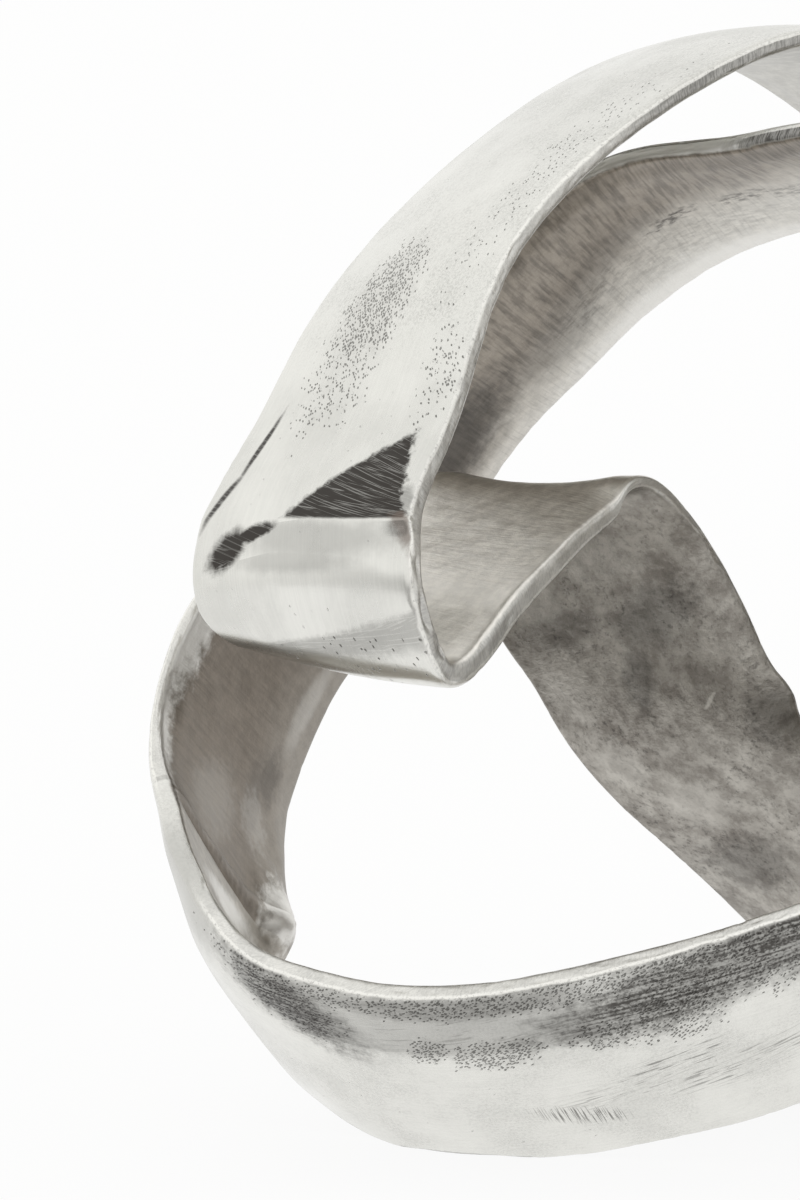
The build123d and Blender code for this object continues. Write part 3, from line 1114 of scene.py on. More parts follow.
def lay_cast_skin(wires, band, cast, marks, look):
    """The skin of the mould, with its own dark and pale places."""
    colour, roughness, height = look
    dark, light, begin, full = cast
    straight = band["Straight"]
    raw = wires.use(cast_skin, Straight=straight, Dark=dark, Light=light)
    share = wires.ramp(band["Along"], begin, full)
    shadows = patches(wires, straight, marks["cast_dark"])
    skin = wires.shade(raw["Colour"], wires.less(1.0, shadows))
    skin = wires.blend(patches(wires, straight, marks["cast_pale"]), skin, CAST_PALE)
    colour = wires.blend(share, colour, skin)
    roughness = wires.between(share, roughness, raw["Roughness"])
    return colour, roughness, wires.between(share, height, raw["Height"])


print("pale places of the cast skin:", CAST_PALE[:3])

# %% Tarnish, painted shade and streaks on the outer face
# One dark colour for tarnish, pits and cuts, also used for painted shade and painted dark reflections
TARNISH_AND_SHADE = (0.060, 0.055, 0.050, 1)
TARNISH_ROUGHNESS = 0.34
LEFT_IN_SCRATCHES = 0.70
STREAK_STROKE = (9.0, 0.5)
STREAK_ROUGHNESS = 0.4
STREAK_DEPTH = 0.05


def lay_dark_marks(wires, straight, marks, lines, look):
    """Dark patches and corners of tarnish and of painted shade, with bright scratches through them, and
    plain darker zones.
    """
    colour, roughness, height = look
    dimmed = patches(wires, straight, marks.get("tarnish_and_shadow_lines", []))
    for strength, edges in marks.get("corners", []):
        dimmed = wires.most(dimmed, wires.times(cornered(wires, straight, edges), strength))
    dimmed = wires.times(dimmed, wires.ramp(lines, 0.0, 1.0, 1.0, LEFT_IN_SCRATCHES))
    dimmed = wires.most(dimmed, patches(wires, straight, marks.get("darker_zones", [])))
    return wires.blend(dimmed, colour, TARNISH_AND_SHADE), wires.between(dimmed, roughness, TARNISH_ROUGHNESS), height


def lay_streaks(wires, straight, rows, look):
    """Dark zones that are drawn out along the band and broken up by grain."""
    colour, roughness, height = look
    grit = wires.strokes(straight, *STREAK_STROKE)
    grain = wires.noise(straight, 1.6, 4.0, 0.7)
    broken = wires.ramp(wires.sum(wires.times(grit, 0.5), wires.times(grain, 0.5)), 0.40, 0.58, 0.50, 1.0)
    streaks = wires.times(patches(wires, straight, rows), broken)
    height = wires.less(height, wires.times(streaks, STREAK_DEPTH))
    roughness = wires.between(streaks, roughness, STREAK_ROUGHNESS)
    return wires.blend(streaks, colour, TARNISH_AND_SHADE), roughness, height


print("colour of tarnish:", TARNISH_AND_SHADE[:3])

# %% Cuts and pits on the outer face
NICK_STROKE = (4.5, 0.38)
NICK_DETAIL = 0.5
FILE_CUT = (5.0, 0.19)
FILE_CUT_TURN = radians(-80.0)
CUT_DEPTH = 0.03
STRAY_PITS = 0.01
PIT_DEPTH = 0.12
PIT_TARNISH = 0.68
PIT_HAZE = 0.10
PIT_ROUGHNESS = 0.3


def lay_cuts(wires, straight, marks, lines, look):
    """Scratches and nicks along the slant of the material, and short file cuts nearly across the band."""
    colour, roughness, height = look
    nicks = wires.strokes(wires.turned(straight, radians(marks["slant"])), *NICK_STROKE, NICK_DETAIL)
    cuts = wires.most(wires.times(lines, 0.5), wires.ramp(nicks, 0.60, 0.70))
    cuts = wires.times(patches(wires, straight, marks["scratched"]), cuts)
    if "hatched" in marks:
        strokes = wires.strokes(wires.turned(straight, FILE_CUT_TURN), *FILE_CUT, SCRATCH_DETAIL)
        hatch = wires.times(patches(wires, straight, marks["hatched"]), wires.ramp(strokes, 0.53, 0.64))
        cuts = wires.most(cuts, hatch)
    return wires.blend(cuts, colour, TARNISH_AND_SHADE), roughness, wires.less(height, wires.times(cuts, CUT_DEPTH))


def lay_pits(wires, straight, rows, look):
    """Open pores, few everywhere and many inside the given patches."""
    colour, roughness, height = look
    inside = patches(wires, straight, rows)
    pits = wires.use(casting_pits, Straight=straight, Density=wires.sum(inside, STRAY_PITS))["Mask"]
    height = wires.less(height, wires.times(pits, PIT_DEPTH))
    soiled = wires.most(wires.times(pits, PIT_TARNISH), wires.times(inside, PIT_HAZE))
    roughness = wires.sum(roughness, wires.times(pits, PIT_ROUGHNESS))
    return wires.blend(soiled, colour, TARNISH_AND_SHADE), roughness, height


print("depth of a pit in millimetres:", PIT_DEPTH)

# %% Looks of the outer face, the inner face and the rims
PALE = (0.78, 0.775, 0.735, 1)
# Dark brown painted shade for the pocket beside the nose
POCKET_SHADE_COLOUR = (0.190, 0.148, 0.125, 1)
# Pale colour for bared metal and for painted highlights on the inner face and rims
BARE_AND_HIGHLIGHT = (0.92, 0.91, 0.875, 1)
RIM_METAL = (0.86, 0.85, 0.81, 1)
COMMON_SLANT = 20.0
# Grain at the first and at the last of two places along the path, then the two places
EVEN_GRAIN = (0.6, 0.6, 0.0, 1.0)
SPECK_STRETCH = (0.5, 1.0, 1.0)


def outer_look(wires, band, cast, marks):
    """Colour, roughness and height of the outer face."""
    straight = band["Straight"]
    first, last, begin, end = marks.get("grain", EVEN_GRAIN)
    grain = wires.ramp(band["Along"], begin, end, first, last)
    skin = wires.use(polished_skin, Straight=straight, Grain=grain)
    look = wires.shade(PALE, skin["Tone"]), skin["Roughness"], skin["Height"]
    if cast:
        look = lay_cast_skin(wires, band, cast, marks, look)
    slant = radians(marks.get("slant", COMMON_SLANT))
    lines = wires.use(scratches, Straight=straight, Slant=slant)["Mask"]
    if "tarnish_and_shadow_lines" in marks or "corners" in marks:
        look = lay_dark_marks(wires, straight, marks, lines, look)
    if "streaked" in marks:
        look = lay_streaks(wires, straight, marks["streaked"], look)
    if "scratched" in marks:
        look = lay_cuts(wires, straight, marks, lines, look)
    # Painted shade in pockets
    if "shaded_pockets" in marks:
        look = wires.blend(patches(wires, straight, marks["shaded_pockets"]), look[0], POCKET_SHADE_COLOUR), *look[1:]
    return lay_pits(wires, straight, marks.get("pitted", []), look)


def inner_colour(wires, straight, colour, marks):
    """Colour of the inner face with its specks, dark places and pale places."""
    if "inner_specks" in marks:
        grain = wires.noise(wires.vector("MULTIPLY", straight, SPECK_STRETCH), 0.9, 4.0, 0.7)
        specks = wires.times(patches(wires, straight, marks["inner_specks"]), wires.ramp(grain, 0.42, 0.66))
        colour = wires.blend(specks, colour, TARNISH_AND_SHADE)
    if "inner_dark" in marks:
        colour = wires.blend(patches(wires, straight, marks["inner_dark"]), colour, TARNISH_AND_SHADE)
    if "inner_pale" in marks:
        colour = wires.blend(patches(wires, straight, marks["inner_pale"]), colour, BARE_AND_HIGHLIGHT)
    return colour


def rim_look(wires, band, rim, marks):
    """Colour of the rims, and the mask of where they show."""
    straight = band["Straight"]
    colour = wires.shade(RIM_METAL, rim["Tone"])
    shown = band["Rim"]
    if "rim_dark" in marks:
        dimmed = patches(wires, straight, marks["rim_dark"])
        dimmed = wires.times(dimmed, wires.ramp(rim["Lines"], 0.0, 1.0, 0.66, 1.0))
        dimmed = wires.times(dimmed, wires.ramp(band["Corner"], 0.0, 0.6, 1.0, 0.25))
        colour = wires.blend(dimmed, colour, TARNISH_AND_SHADE)
    if "rim_pale" in marks:
        colour = wires.blend(patches(wires, straight, marks["rim_pale"]), colour, BARE_AND_HIGHLIGHT)
    if "rim_polished" in marks:
        shown = wires.times(shown, wires.less(1.0, patches(wires, straight, marks["rim_polished"])))
    return colour, shown


print("polished metal:", PALE[:3], "rims:", RIM_METAL[:3])

# %% Join the finishes
# Where the line along the inner face turns, its place across there, and its drift. The line parts
# the painted shade of the near half from the painted light of the far half.
MIDDLE_SPLIT = (0.0, 1.0, 0.0)


# dark and light: the inner face in painted shade beside the near rim and in painted light towards the far
# rim
def band_metal(name, dark, light, split=MIDDLE_SPLIT, brush=1.0, cast=None, marks=None):
    """A material with a polished outer face, a brushed inner face and filed rims."""
    marks = marks or {}
    material = bpy.data.materials.new(name)
    material.use_nodes = True
    wires = Wiring(material.node_tree)
    band = wires.use(zones)
    straight = band["Straight"]
    colour, roughness, height = outer_look(wires, band, cast, marks)
    pivot, place, drift = split
    brushed = wires.use(brushed_skin, Straight=straight, Pivot=pivot, Split=place, Drift=drift,
                        Brush=brush, Dark=dark, Light=light)
    rim = wires.use(filed_rim, Straight=straight, Corner=band["Corner"])
    filed, on_rim = rim_look(wires, band, rim, marks)
    colour = wires.blend(band["Inner"], colour, inner_colour(wires, straight, brushed["Colour"], marks))
    colour = wires.blend(on_rim, colour, filed)
    roughness = wires.between(band["Inner"], roughness, brushed["Roughness"])
    roughness = wires.between(on_rim, roughness, rim["Roughness"])
    height = wires.between(band["Inner"], height, brushed["Height"])
    height = wires.between(on_rim, height, rim["Height"])
    relief = wires.node("Bump", Distance=MILLIMETRE, Height=height).outputs["Normal"]
    surface = material.node_tree.nodes["Principled BSDF"]
    wires.feed(surface.inputs["Base Color"], colour)
    wires.feed(surface.inputs["Roughness"], roughness)
    wires.feed(surface.inputs["Normal"], relief)
    surface.inputs["Metallic"].default_value = 1.0
    print("material:", name, "nodes:", len(material.node_tree.nodes))
    return material


print("line along the inner face, if not given:", MIDDLE_SPLIT)

# %% [markdown]
# ## Front arch
# The arch is the brightest length. Its crest has a cluster of open casting pits, a thin painted shadow line
# lies beside the facet at its far edge, and above the fold a corner is painted dark as a reflection of the
# dark room, with the scratches of a coarse file through it. A dark patch with round ends could stand for
# that corner, but its sides are straight, so it is bounded by three straight edges.

# %% Front arch
ARCH_INSIDE = (0.64, 0.63, 0.595, 1)
# Marks beside the fold that more than one piece shows
FOLD_STAIN = (mark("nose", 0.4), 14.0, 2.9, 5.8, 20.0, 0.7, 1.25)
FOLD_STAIN_TIP = (mark("nose", -1.1), 8.8, 1.5, 6.0, 7.0, 0.7, 1.25)
# Darker bands across the nose: painted reflection of the dark front of the room
NOSE_REFLECTION_BAND = (mark("nose", 1.4), -4.0, 4.5, 22.0, -9.0, 0.4, 0.30)
# A painted shadow in the pocket beside the nose
POCKET_SHADE_MARK = (mark("nose", 2.2), -21.0, 6.5, 2.8, 22.0, 1.0, 0.70)
# Strength, then for each edge: place along and across, slant, softness, raggedness
# A corner painted dark as a reflection of the dark room; bright file scratches cut through it
DARK_REFLECTION_CORNER = (1.0, [
    (FOLD_LINE - 0.2, 0.0, -96.8, 0.8, 0.5),
    (mark("arch_foot", 17.1), 3.0, 130.0, 1.2, 2.5),
    (mark("arch_foot", 8.0), -19.6, 10.6, 1.4, 4.0),
])
front_arch_metal = band_metal("front arch metal", ARCH_INSIDE, ARCH_INSIDE, brush=0.4, marks={
    "slant": 69.0,
    "grain": (1.0, 0.15, mark("arch_side", 2.0), mark("arch_side", 16.0)),
    "pitted": [
        (mark("arch_shoulder", 36.0), 2.5, 17.0, 9.5, 0.0, 0.9, 1.15),
        (mark("arch_side", 12.0), 4.5, 18.0, 10.0, 0.0, 1.2, 0.52),
        (mark("arch_side", 13.0), -17.5, 12.0, 5.0, 0.0, 0.8, 0.42),
        (mark("arch_shoulder", 6.0), -15.0, 45.0, 7.0, 0.0, 0.8, 0.16),
    ],
    "tarnish_and_shadow_lines": [
        FOLD_STAIN,
        FOLD_STAIN_TIP,
        (mark("arch_foot", 15.5), -20.5, 5.0, 2.6, 12.0, 0.8, 0.50),
        # The next two rows are thin painted shadow lines at the edge of the filed facet
        (mark("arch_foot", 4.5), 15.4, 9.5, 0.9, -9.0, 0.5, 1.00),
        (mark("arch_foot", 13.8), 18.3, 6.0, 1.1, -30.0, 0.5, 1.00),
    ],
    "darker_zones": [
        (mark("arch_top", 5.0), 0.0, 48.0, 40.0, 0.0, 0.4, 0.08),
    ],
    "corners": [DARK_REFLECTION_CORNER],
    "rim_dark": [
        (mark("arch_top", -4.0), -22.0, 40.0, 9.0, 0.0, 0.5, 0.62),
        (mark("arch_foot", 2.0), -22.0, 26.0, 9.0, 0.0, 0.5, 0.22),
    ],
})

# %% [markdown]
# ## Nose and saddle
# The nose was folded sharply and polished, and darker, rougher bands follow its bend, painted as the
# reflection of the dark front of the room. Behind the fold the wheel couldn't get in, so the cast skin
# takes over along the saddle. Two materials with a border in the mesh would show a hard line, so one
# material changes its share of the two skins along the path.

# %% Nose and saddle
CAST_DARK = (0.24, 0.22, 0.195, 1)
CAST_LIGHT = (0.54, 0.515, 0.47, 1)
SADDLE_GREY = (0.91, 0.885, 0.83, 1)
SADDLE_PALE = (0.94, 0.915, 0.86, 1)
# These dark and pale places of the cast skin lie on two pieces
DESCENT_SHADOWS = [
    (mark("descent_low", 2.0), 6.0, 9.0, 14.0, 0.0, 1.2, 0.34),
    (mark("descent_middle", 9.0), -18.0, 8.0, 7.0, 0.0, 1.0, 0.30),
    (mark("descent_top", 6.0), 0.5, 9.0, 4.0, -20.0, 1.2, 0.38),
]
DESCENT_LIGHTS = [
    (mark("descent", 6.0), 6.0, 8.0, 9.0, 0.0, 1.0, 0.35),
    (mark("descent_middle", 9.0), 14.0, 7.0, 7.0, 0.0, 1.2, 0.35),
    (mark("descent_top", 4.0), 15.0, 9.0, 7.0, 0.0, 1.2, 0.30),
    (mark("descent_middle", 2.0), -10.0, 0.5, 2.8, 38.0, 0.5, 0.60),
]
# The rim of the run down was never filed
RAW_RIM = (mark("descent_low", 8.0), -22.0, 100.0, 9.0, 0.0, 0.3, 1.00)
SADDLE_CAST = (CAST_DARK, CAST_LIGHT, mark("fold_end"), mark("saddle"))
nose_metal = band_metal("nose metal", SADDLE_GREY, SADDLE_PALE, brush=0.14, cast=SADDLE_CAST, marks={
    "slant": 90.0,
    "grain": (0.12, 0.6, mark("nose_front", 4.0), mark("fold")),
    "cast_dark": DESCENT_SHADOWS + [
        (mark("saddle_fall", 13.0), 10.0, 6.0, 10.0, 0.0, 1.2, 0.26),
        (mark("saddle_fall", 16.0), -8.0, 7.0, 12.0, 10.0, 1.0, 0.38),
        (mark("saddle", 2.0), -18.0, 5.0, 6.0, 0.0, 0.8, 0.20),
    ],
    "cast_pale": DESCENT_LIGHTS + [
        (mark("saddle_fall", 6.0), 12.0, 6.0, 7.0, 0.0, 1.2, 0.40),
        (mark("saddle_fall", 3.0), -6.0, 7.0, 10.0, 0.0, 1.0, 0.22),
    ],
    "tarnish_and_shadow_lines": [FOLD_STAIN, FOLD_STAIN_TIP],
    "darker_zones": [
        NOSE_REFLECTION_BAND,
        (mark("nose", 3.8), 0.5, 2.4, 17.0, -9.0, 0.5, 0.28),
    ],
    # A darker band across the nose strip: painted reflection of the dark room
    "corners": [(0.40, [
        (mark("nose_front", 5.6), 0.0, 94.0, 1.2, 2.0),
        (mark("fold_start", 3.0), 0.0, -88.0, 2.4, 2.0),
    ])],
    "shaded_pockets": [POCKET_SHADE_MARK],
    "pitted": [
        (mark("fold_start", 2.0), -8.0, 6.0, 22.0, 0.0, 1.0, 0.07),
    ],
    "inner_dark": [
        (mark("descent_middle", 10.0), 0.0, 34.0, 60.0, 0.0, 0.3, 0.35),
    ],
    "rim_dark": [
        (mark("fold_end"), -22.0, 22.0, 9.0, 0.0, 0.5, 0.30),
    ],
    "rim_polished": [RAW_RIM],
})

# %% [markdown]
# ## Nose weld
# The weld at the nose lies where the dark corner ends, and the stain of the fold crosses it. Marks that
# stopped at its two seams would give it away, so its metal repeats the rows of its neighbours. The other
# welds take the metal of a casting beside them.

# %% Nose weld
DULL_GREY = (0.34, 0.315, 0.28, 1)
MID_GREY = (0.42, 0.39, 0.345, 1)
# The weld repeats the painted reflections and the painted pocket shade of its neighbours
nose_weld_metal = band_metal("nose weld metal", DULL_GREY, MID_GREY, marks={
    "slant": 69.0,
    "grain": (0.15, 0.12, mark("arch_foot"), mark("nose")),
    "tarnish_and_shadow_lines": [FOLD_STAIN, FOLD_STAIN_TIP],
    "darker_zones": [NOSE_REFLECTION_BAND],
    "corners": [DARK_REFLECTION_CORNER],
    "shaded_pockets": [POCKET_SHADE_MARK],
})

# %% [markdown]
# ## Run down to the rear foot
# This length keeps the skin of the mould, with dark and pale clouds that are larger than the noise makes
# them. Noise of that size would put them anywhere, so they are soft patches. They cross the weld, and the
# piece above shares them. Towards the rear foot the polish comes back.

# %% Run down to the rear foot
WARM_GREY = (0.26, 0.23, 0.195, 1)
FOOT_CAST = (CAST_DARK, CAST_LIGHT, mark("rear_foot"), mark("rear_turn"))
rear_foot_metal = band_metal("rear foot metal", WARM_GREY, MID_GREY, cast=FOOT_CAST, marks={
    "cast_dark": DESCENT_SHADOWS,
    "cast_pale": DESCENT_LIGHTS,
    "inner_pale": [
        (mark("descent_middle"), 0.0, 44.0, 70.0, 0.0, 0.3, 0.50),
    ],
    "rim_polished": [RAW_RIM],
})
print("cast skin ends at", round(mark("rear_foot"), 1), "mm along the path")

# %% [markdown]
# ## Rear arch
# The inside of the rear arch faces the viewer. Its brushed metal is brown grey near the front, deepened
# by painted shade, a painted shadow of a valley with specks runs slantwise along it, and painted light
# makes the far edge pale. The near rim is dull where the arch begins and bare further on. The valley is the
# line of the brushed skin, which can drift across the band, so it needs no rows of its own.

# %% Rear arch
BROWN_GREY = (0.39, 0.35, 0.30, 1)
BRIGHT_GREY = (0.74, 0.72, 0.67, 1)
VALLEY_LINE = (mark("rear_arch_shoulder", 12.0), 0.0, 0.25)
rear_arch_metal = band_metal("rear arch metal", BROWN_GREY, BRIGHT_GREY, split=VALLEY_LINE, marks={
    # Darker patches: painted shade along the valley and the near half
    "inner_dark": [
        (mark("rear_arch_side", 32.0), 4.0, 26.0, 14.0, 0.0, 0.6, 0.75),
        (mark("rear_arch_rise", 20.0), -18.0, 40.0, 4.0, 0.0, 0.6, 0.25),
        (mark("rear_arch_shoulder", 14.0), 0.0, 20.0, 5.0, -14.0, 0.6, 0.22),
        (mark("rear_arch_side", 2.0), 7.5, 16.0, 8.0, -10.0, 0.8, 0.26),
    ],
    "inner_specks": [
        (mark("rear_arch_top", 22.0), 0.5, 9.0, 2.6, -12.0, 1.2, 0.85),
        (mark("rear_arch_top", 8.0), -0.5, 9.0, 3.0, -10.0, 1.2, 0.70),
        (mark("rear_arch_rise", 22.0), 1.0, 14.0, 3.5, 0.0, 1.2, 0.60),
        (mark("rear_arch_shoulder", 18.0), 6.0, 16.0, 5.0, -8.0, 1.2, 0.35),
        (mark("rear_arch_shoulder"), 9.0, 34.0, 10.0, -4.0, 0.8, 0.22),
    ],
    # Painted light on the far edge
    "inner_pale": [
        (mark("rear_arch_shoulder"), 23.0, 44.0, 13.0, 0.0, 0.6, 0.70),
    ],
    "rim_dark": [
        (mark("rear_arch_rise", 8.0), -22.0, 20.0, 8.0, 0.0, 0.6, 0.90),
    ],
    "rim_pale": [
        (mark("rear_arch_top", 14.0), -22.0, 26.0, 8.0, 0.0, 0.6, 1.00),
    ],
})

# %% [markdown]
# ## Left return
# The inside of the left return was hardly worked and is dark. Its pale places are painted highlights along
# the near edge and in a blade beside the corner, and the bead of the corner weld, rubbed metal with a
# painted sheen. The bead could be a bright material of its own, but its border is ragged, so it is a patch
# on the two pieces that it joins.

# %% Left return
DEEP_GREY = (0.25, 0.218, 0.183, 1)
RETURN_LINE = (0.0, 8.0, 0.0)
# The bead at the corner with its painted sheen, the blade of painted highlight and the lip beside it lie
# on two pieces
CORNER_BEAD = (mark("return_side", 20.0), 17.0, 7.0, 6.0, 0.0, 1.4, 0.80)
BLADE_HIGHLIGHT = (mark("return_corner", 6.8), 1.0, 3.4, 15.0, -9.0, 0.6, 0.80)
CORNER_LIP = (mark("return_corner", 12.0), -22.0, 20.0, 7.0, 0.0, 0.4, 1.00)
left_return_metal = band_metal("left return metal", DEEP_GREY, DULL_GREY, RETURN_LINE, brush=0.35, marks={
    "inner_dark": [
        (mark("return_side", 2.0), 9.0, 10.0, 3.5, 10.0, 1.2, 0.30),
        (mark("return_high", 19.0), 13.0, 7.0, 4.0, 10.0, 1.2, 0.40),
        (mark("return_side", 10.0), -20.0, 6.0, 4.0, 0.0, 1.2, 0.20),
    ],
    "inner_pale": [
        CORNER_BEAD,
        BLADE_HIGHLIGHT,
        (mark("return_side", 7.0), 9.5, 7.0, 5.0, -20.0, 1.6, 0.16),
        # These two rows are painted highlights along the near edge
        (mark("return_high", 4.0), -20.5, 18.0, 6.5, 0.0, 1.1, 1.00),
        (mark("return_side", 4.0), -22.5, 24.0, 5.0, 0.0, 1.1, 0.75),
        # A painted highlight along the far rim
        (mark("return_high", 3.0), 16.0, 14.0, 3.0, 0.0, 0.4, 0.22),
        (mark("return_side", 10.0), -4.0, 12.0, 9.0, 30.0, 0.8, 0.12),
    ],
    "rim_dark": [
        (mark("return_side", 18.5), -21.0, 0.9, 6.0, 8.0, 0.8, 0.45),
    ],
    "rim_polished": [CORNER_LIP],
})

# %% [markdown]
# ## Front base
# The swell of the base is bright, but along its upper half lie dark streaks and open pits. The streaks
# are partly metal that the wheel left unpolished and partly a painted reflection of the dark front of the
# room.
# Lower down there are scratches and one group of short file cuts. Each kind of mark has its own rows, so
# that a streak, a cluster of pits and a scratch can lie over each other as they do on the metal.

# %% Front base
SILVER_GREY = (0.50, 0.475, 0.43, 1)
front_base_metal = band_metal("front base metal", SILVER_GREY, MID_GREY, brush=0.5, marks={
    "slant": 8.0,
    # Darker zones and streaks of the upper half: partly unpolished metal, partly painted reflection of the
    # dark room
    "darker_zones": [
        (mark("base_corner", -2.0), -20.0, 18.0, 10.0, 0.0, 0.5, 0.26),
    ],
    "corners": [(0.33, [
        (mark("base_front"), -7.5, 180.0, 2.5, 2.5),
        (mark("base_left", -4.0), -15.0, 90.0, 8.0, 3.0),
        (mark("base_front", 20.0), -15.0, -90.0, 5.0, 3.0),
    ])],
    "streaked": [
        (mark("base_right", 6.0), -15.0, 32.0, 9.5, 7.0, 0.9, 0.95),
        (mark("base_right", 26.0), -18.5, 30.0, 11.0, 0.0, 0.7, 0.95),
        (mark("base_front", 18.5), -12.0, 8.0, 6.0, 0.0, 1.0, 0.85),
        (mark("base_left", 2.5), -15.0, 19.0, 9.0, -30.0, 0.7, 0.92),
        (mark("base_front", -4.0), -19.5, 28.0, 3.2, 0.0, 0.6, 0.38),
    ],
    "pitted": [
        (mark("base_low", 8.0), -10.0, 4.2, 4.0, 0.0, 1.0, 1.50),
        (mark("base_front", 2.0), -8.2, 10.0, 4.6, 0.0, 1.4, 1.40),
        (mark("base_front", 18.8), -8.8, 7.0, 4.5, 0.0, 1.2, 1.00),
        (mark("base_right", 2.5), -10.0, 11.0, 8.0, 0.0, 1.2, 1.05),
        (mark("base_right", 16.0), -13.0, 22.0, 6.0, -8.0, 1.2, 0.70),
        (mark("base_front", 10.0), -20.0, 70.0, 4.0, 0.0, 0.5, 1.10),
        (mark("base_left", 1.0), -16.0, 16.0, 8.0, -30.0, 0.8, 0.85),
    ],
    "scratched": [
        (mark("base_front", 20.0), 5.5, 15.0, 4.5, 8.0, 1.0, 0.42),
        (mark("base_right", 2.0), 1.0, 12.0, 4.5, 8.0, 1.0, 0.60),
        (mark("base_right", 12.0), 6.0, 20.0, 5.0, 8.0, 1.0, 0.48),
        (mark("base_front"), -13.0, 26.0, 6.0, 0.0, 0.8, 0.30),
    ],
    "hatched": [
        (mark("base_front", 11.8), 10.0, 10.5, 3.0, -18.0, 0.5, 0.75),
    ],
    "inner_pale": [CORNER_BEAD, BLADE_HIGHLIGHT],
    "rim_polished": [CORNER_LIP],
})

# %% [markdown]
# ## Right lobe and risers
# These lengths lie on the right and behind. They have the common finish, and a few pits, scratches and a
# dull edge of their own keep them from looking alike. One plain metal would do from the front, but the
# ornament is seen from all sides.

# %% Right lobe and risers
LOBE_LINE = (0.0, -3.0, 0.0)
RISER_LINE = (0.0, 3.0, 0.0)
lobe_metal = band_metal("lobe metal", BROWN_GREY, BRIGHT_GREY, split=LOBE_LINE, marks={
    "slant": 20.0,
    "pitted": [(mark("lobe_side"), 5.0, 18.0, 6.0, 0.0, 1.1, 0.9)],
    "scratched": [(mark("lobe_high"), -6.0, 26.0, 10.0, 0.0, 1.0, 0.25)],
})
riser_metal = band_metal("riser metal", BROWN_GREY, SILVER_GREY, split=RISER_LINE, marks={
    "pitted": [(mark("riser_middle"), -6.0, 16.0, 6.0, 0.0, 1.1, 0.9)],
    "tarnish_and_shadow_lines": [(mark("riser_low"), -18.0, 16.0, 3.0, 0.0, 1.3, 0.5)],
})

# %% [markdown]
# ## Metal and place of every piece
# Every piece gets its metal, moves with the one body of the knot and stands for the solid of the same
# name.

# %% Give every piece its metal and its place in the frame
METALS = {
    "front_arch_band": front_arch_metal,
    "folded_nose_band": nose_metal,
    "rear_foot_band": rear_foot_metal,
    "right_lobe_band": lobe_metal,
    "rear_arch_band": rear_arch_metal,
    "left_return_band": left_return_metal,
    "front_base_band": front_base_metal,
    "lower_riser_band": front_base_metal,
    "upper_riser_band": riser_metal,
    "nose_weld": nose_weld_metal,
    "descent_weld": rear_foot_metal,
    "lobe_weld": lobe_metal,
    "lobe_top_weld": lobe_metal,
    "rear_arch_weld": rear_arch_metal,
    "corner_weld": left_return_metal,
    "base_weld": front_base_metal,
    "riser_weld": riser_metal,
    "crown_weld": front_arch_metal,
}
for made, slot in ((castings, "polished_band"), (welds, "weld_metal")):
    for node, piece in made.items():
        piece.data.materials.append(METALS[node])
        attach(piece, "root")
        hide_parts(node)
print("pieces:", len(castings) + len(welds))

# %% [markdown]
# ## Studio
# The ornament stands on a pale floor in a white studio. Polished metal shows the room around it, so the
# room is the light: white on all sides, with a darker stretch low in front, where the unlit end of a
# studio would be. Area lamps would draw bright shapes on the band, and an evenly white room would leave
# it flat. The floor is mostly white to the eye and to reflections, and a small share of plain matte keeps
# the shadow.

# %% Floor
FLOOR_SIZE = 6.0
FLOOR_COLOUR = (0.9, 0.9, 0.89, 1)
WHITE = (1, 1, 1, 1)
WHITE_SHARE = 0.9


def white_floor():
    """A matte floor that looks white to the camera and in reflections."""
    material = bpy.data.materials.new("pale floor")
    material.use_nodes = True
    wires = Wiring(material.node_tree)
    nodes = material.node_tree.nodes
    nodes.remove(nodes["Principled BSDF"])
    matte = wires.node("BsdfDiffuse", Color=FLOOR_COLOUR).outputs[0]
    glow = wires.node("Emission", Color=WHITE, Strength=1.0).outputs[0]
    rays = wires.node("LightPath").outputs
    seen = wires.most(rays["Is Camera Ray"], rays["Is Glossy Ray"], rays["Is Transmission Ray"])
    surface = wires.fill(wires.node("MixShader"), (wires.times(seen, WHITE_SHARE), matte, glow))
    wires.feed(nodes["Material Output"].inputs["Surface"], surface[0])
    return material


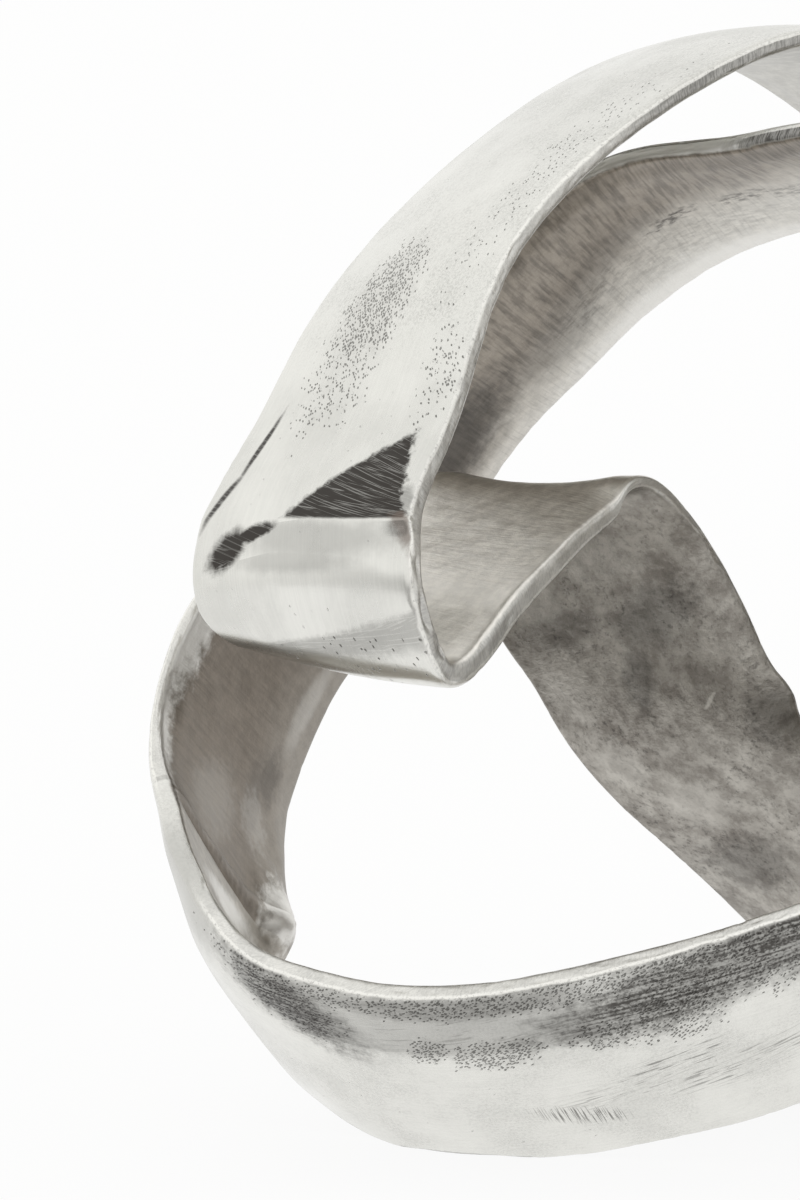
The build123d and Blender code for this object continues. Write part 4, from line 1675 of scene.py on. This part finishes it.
bm = bmesh.new()
bmesh.ops.create_grid(bm, x_segments=1, y_segments=1, size=FLOOR_SIZE / 2)
floor_mesh = bpy.data.meshes.new("floor")
bm.to_mesh(floor_mesh)
bm.free()
floor = bpy.data.objects.new("floor", floor_mesh)
floor.data.materials.append(white_floor())
bpy.context.scene.collection.objects.link(floor)
print("floor in metres:", FLOOR_SIZE, "square")

# %% White room
ROOM_WHITE = (1.0, 1.0, 0.99, 1)
ROOM_DARK = (0.10, 0.097, 0.092, 1)
DARK_SHARE = 0.62
# Parts of a direction: how far to the front and how low the room gets dark
FRONT_BEGIN = 0.0
FRONT_FULL = -0.7
LOW_BEGIN = 0.40
LOW_FULL = 0.15
world = bpy.data.worlds.new("white studio")
world.use_nodes = True
bpy.context.scene.world = world
wires = Wiring(world.node_tree)
parts = wires.node("SeparateXYZ", Vector=wires.node("TexCoord").outputs["Generated"]).outputs
front = wires.ramp(parts["Y"], FRONT_BEGIN, FRONT_FULL)
dark = wires.times(wires.ramp(parts["Z"], LOW_BEGIN, LOW_FULL), front, DARK_SHARE)
room = wires.blend(dark, ROOM_WHITE, ROOM_DARK)
to_camera = wires.node("LightPath").outputs["Is Camera Ray"]
background = world.node_tree.nodes["Background"]
wires.feed(background.inputs["Color"], wires.blend(to_camera, room, WHITE))
background.inputs["Strength"].default_value = 1.0
print("world:", world.name)

# %% [markdown]
# ## Camera
# The picture was taken from the front with a long lens, square to the drawing, so the camera stands
# where the drawing's viewer stands, and the right of the knot lies outside the frame. A short lens would
# make the nose too large beside the arch behind it.

# %% Camera
VIEW_DISTANCE = 1500.0
VIEW_CENTRE = (-50.0, 93.0)
VIEW_HEIGHT = 200.0
SENSOR = 36.0
LEVEL_VIEW = 90.0
eye = tip_back((VIEW_CENTRE[0], -VIEW_DISTANCE, VIEW_CENTRE[1])) - ORIGIN
camera_data = bpy.data.cameras.new("camera")
camera_data.sensor_width = SENSOR
camera_data.lens = SENSOR * VIEW_DISTANCE / VIEW_HEIGHT
camera = bpy.data.objects.new("camera", camera_data)
camera.location = Vector(eye) * MILLIMETRE
camera.rotation_euler = (radians(LEVEL_VIEW - LEAN), 0.0, 0.0)
bpy.context.scene.collection.objects.link(camera)
bpy.context.scene.camera = camera
bpy.context.scene.view_settings.view_transform = "Standard"
print("camera at", [round(value, 3) for value in camera.location])

# %% [markdown]
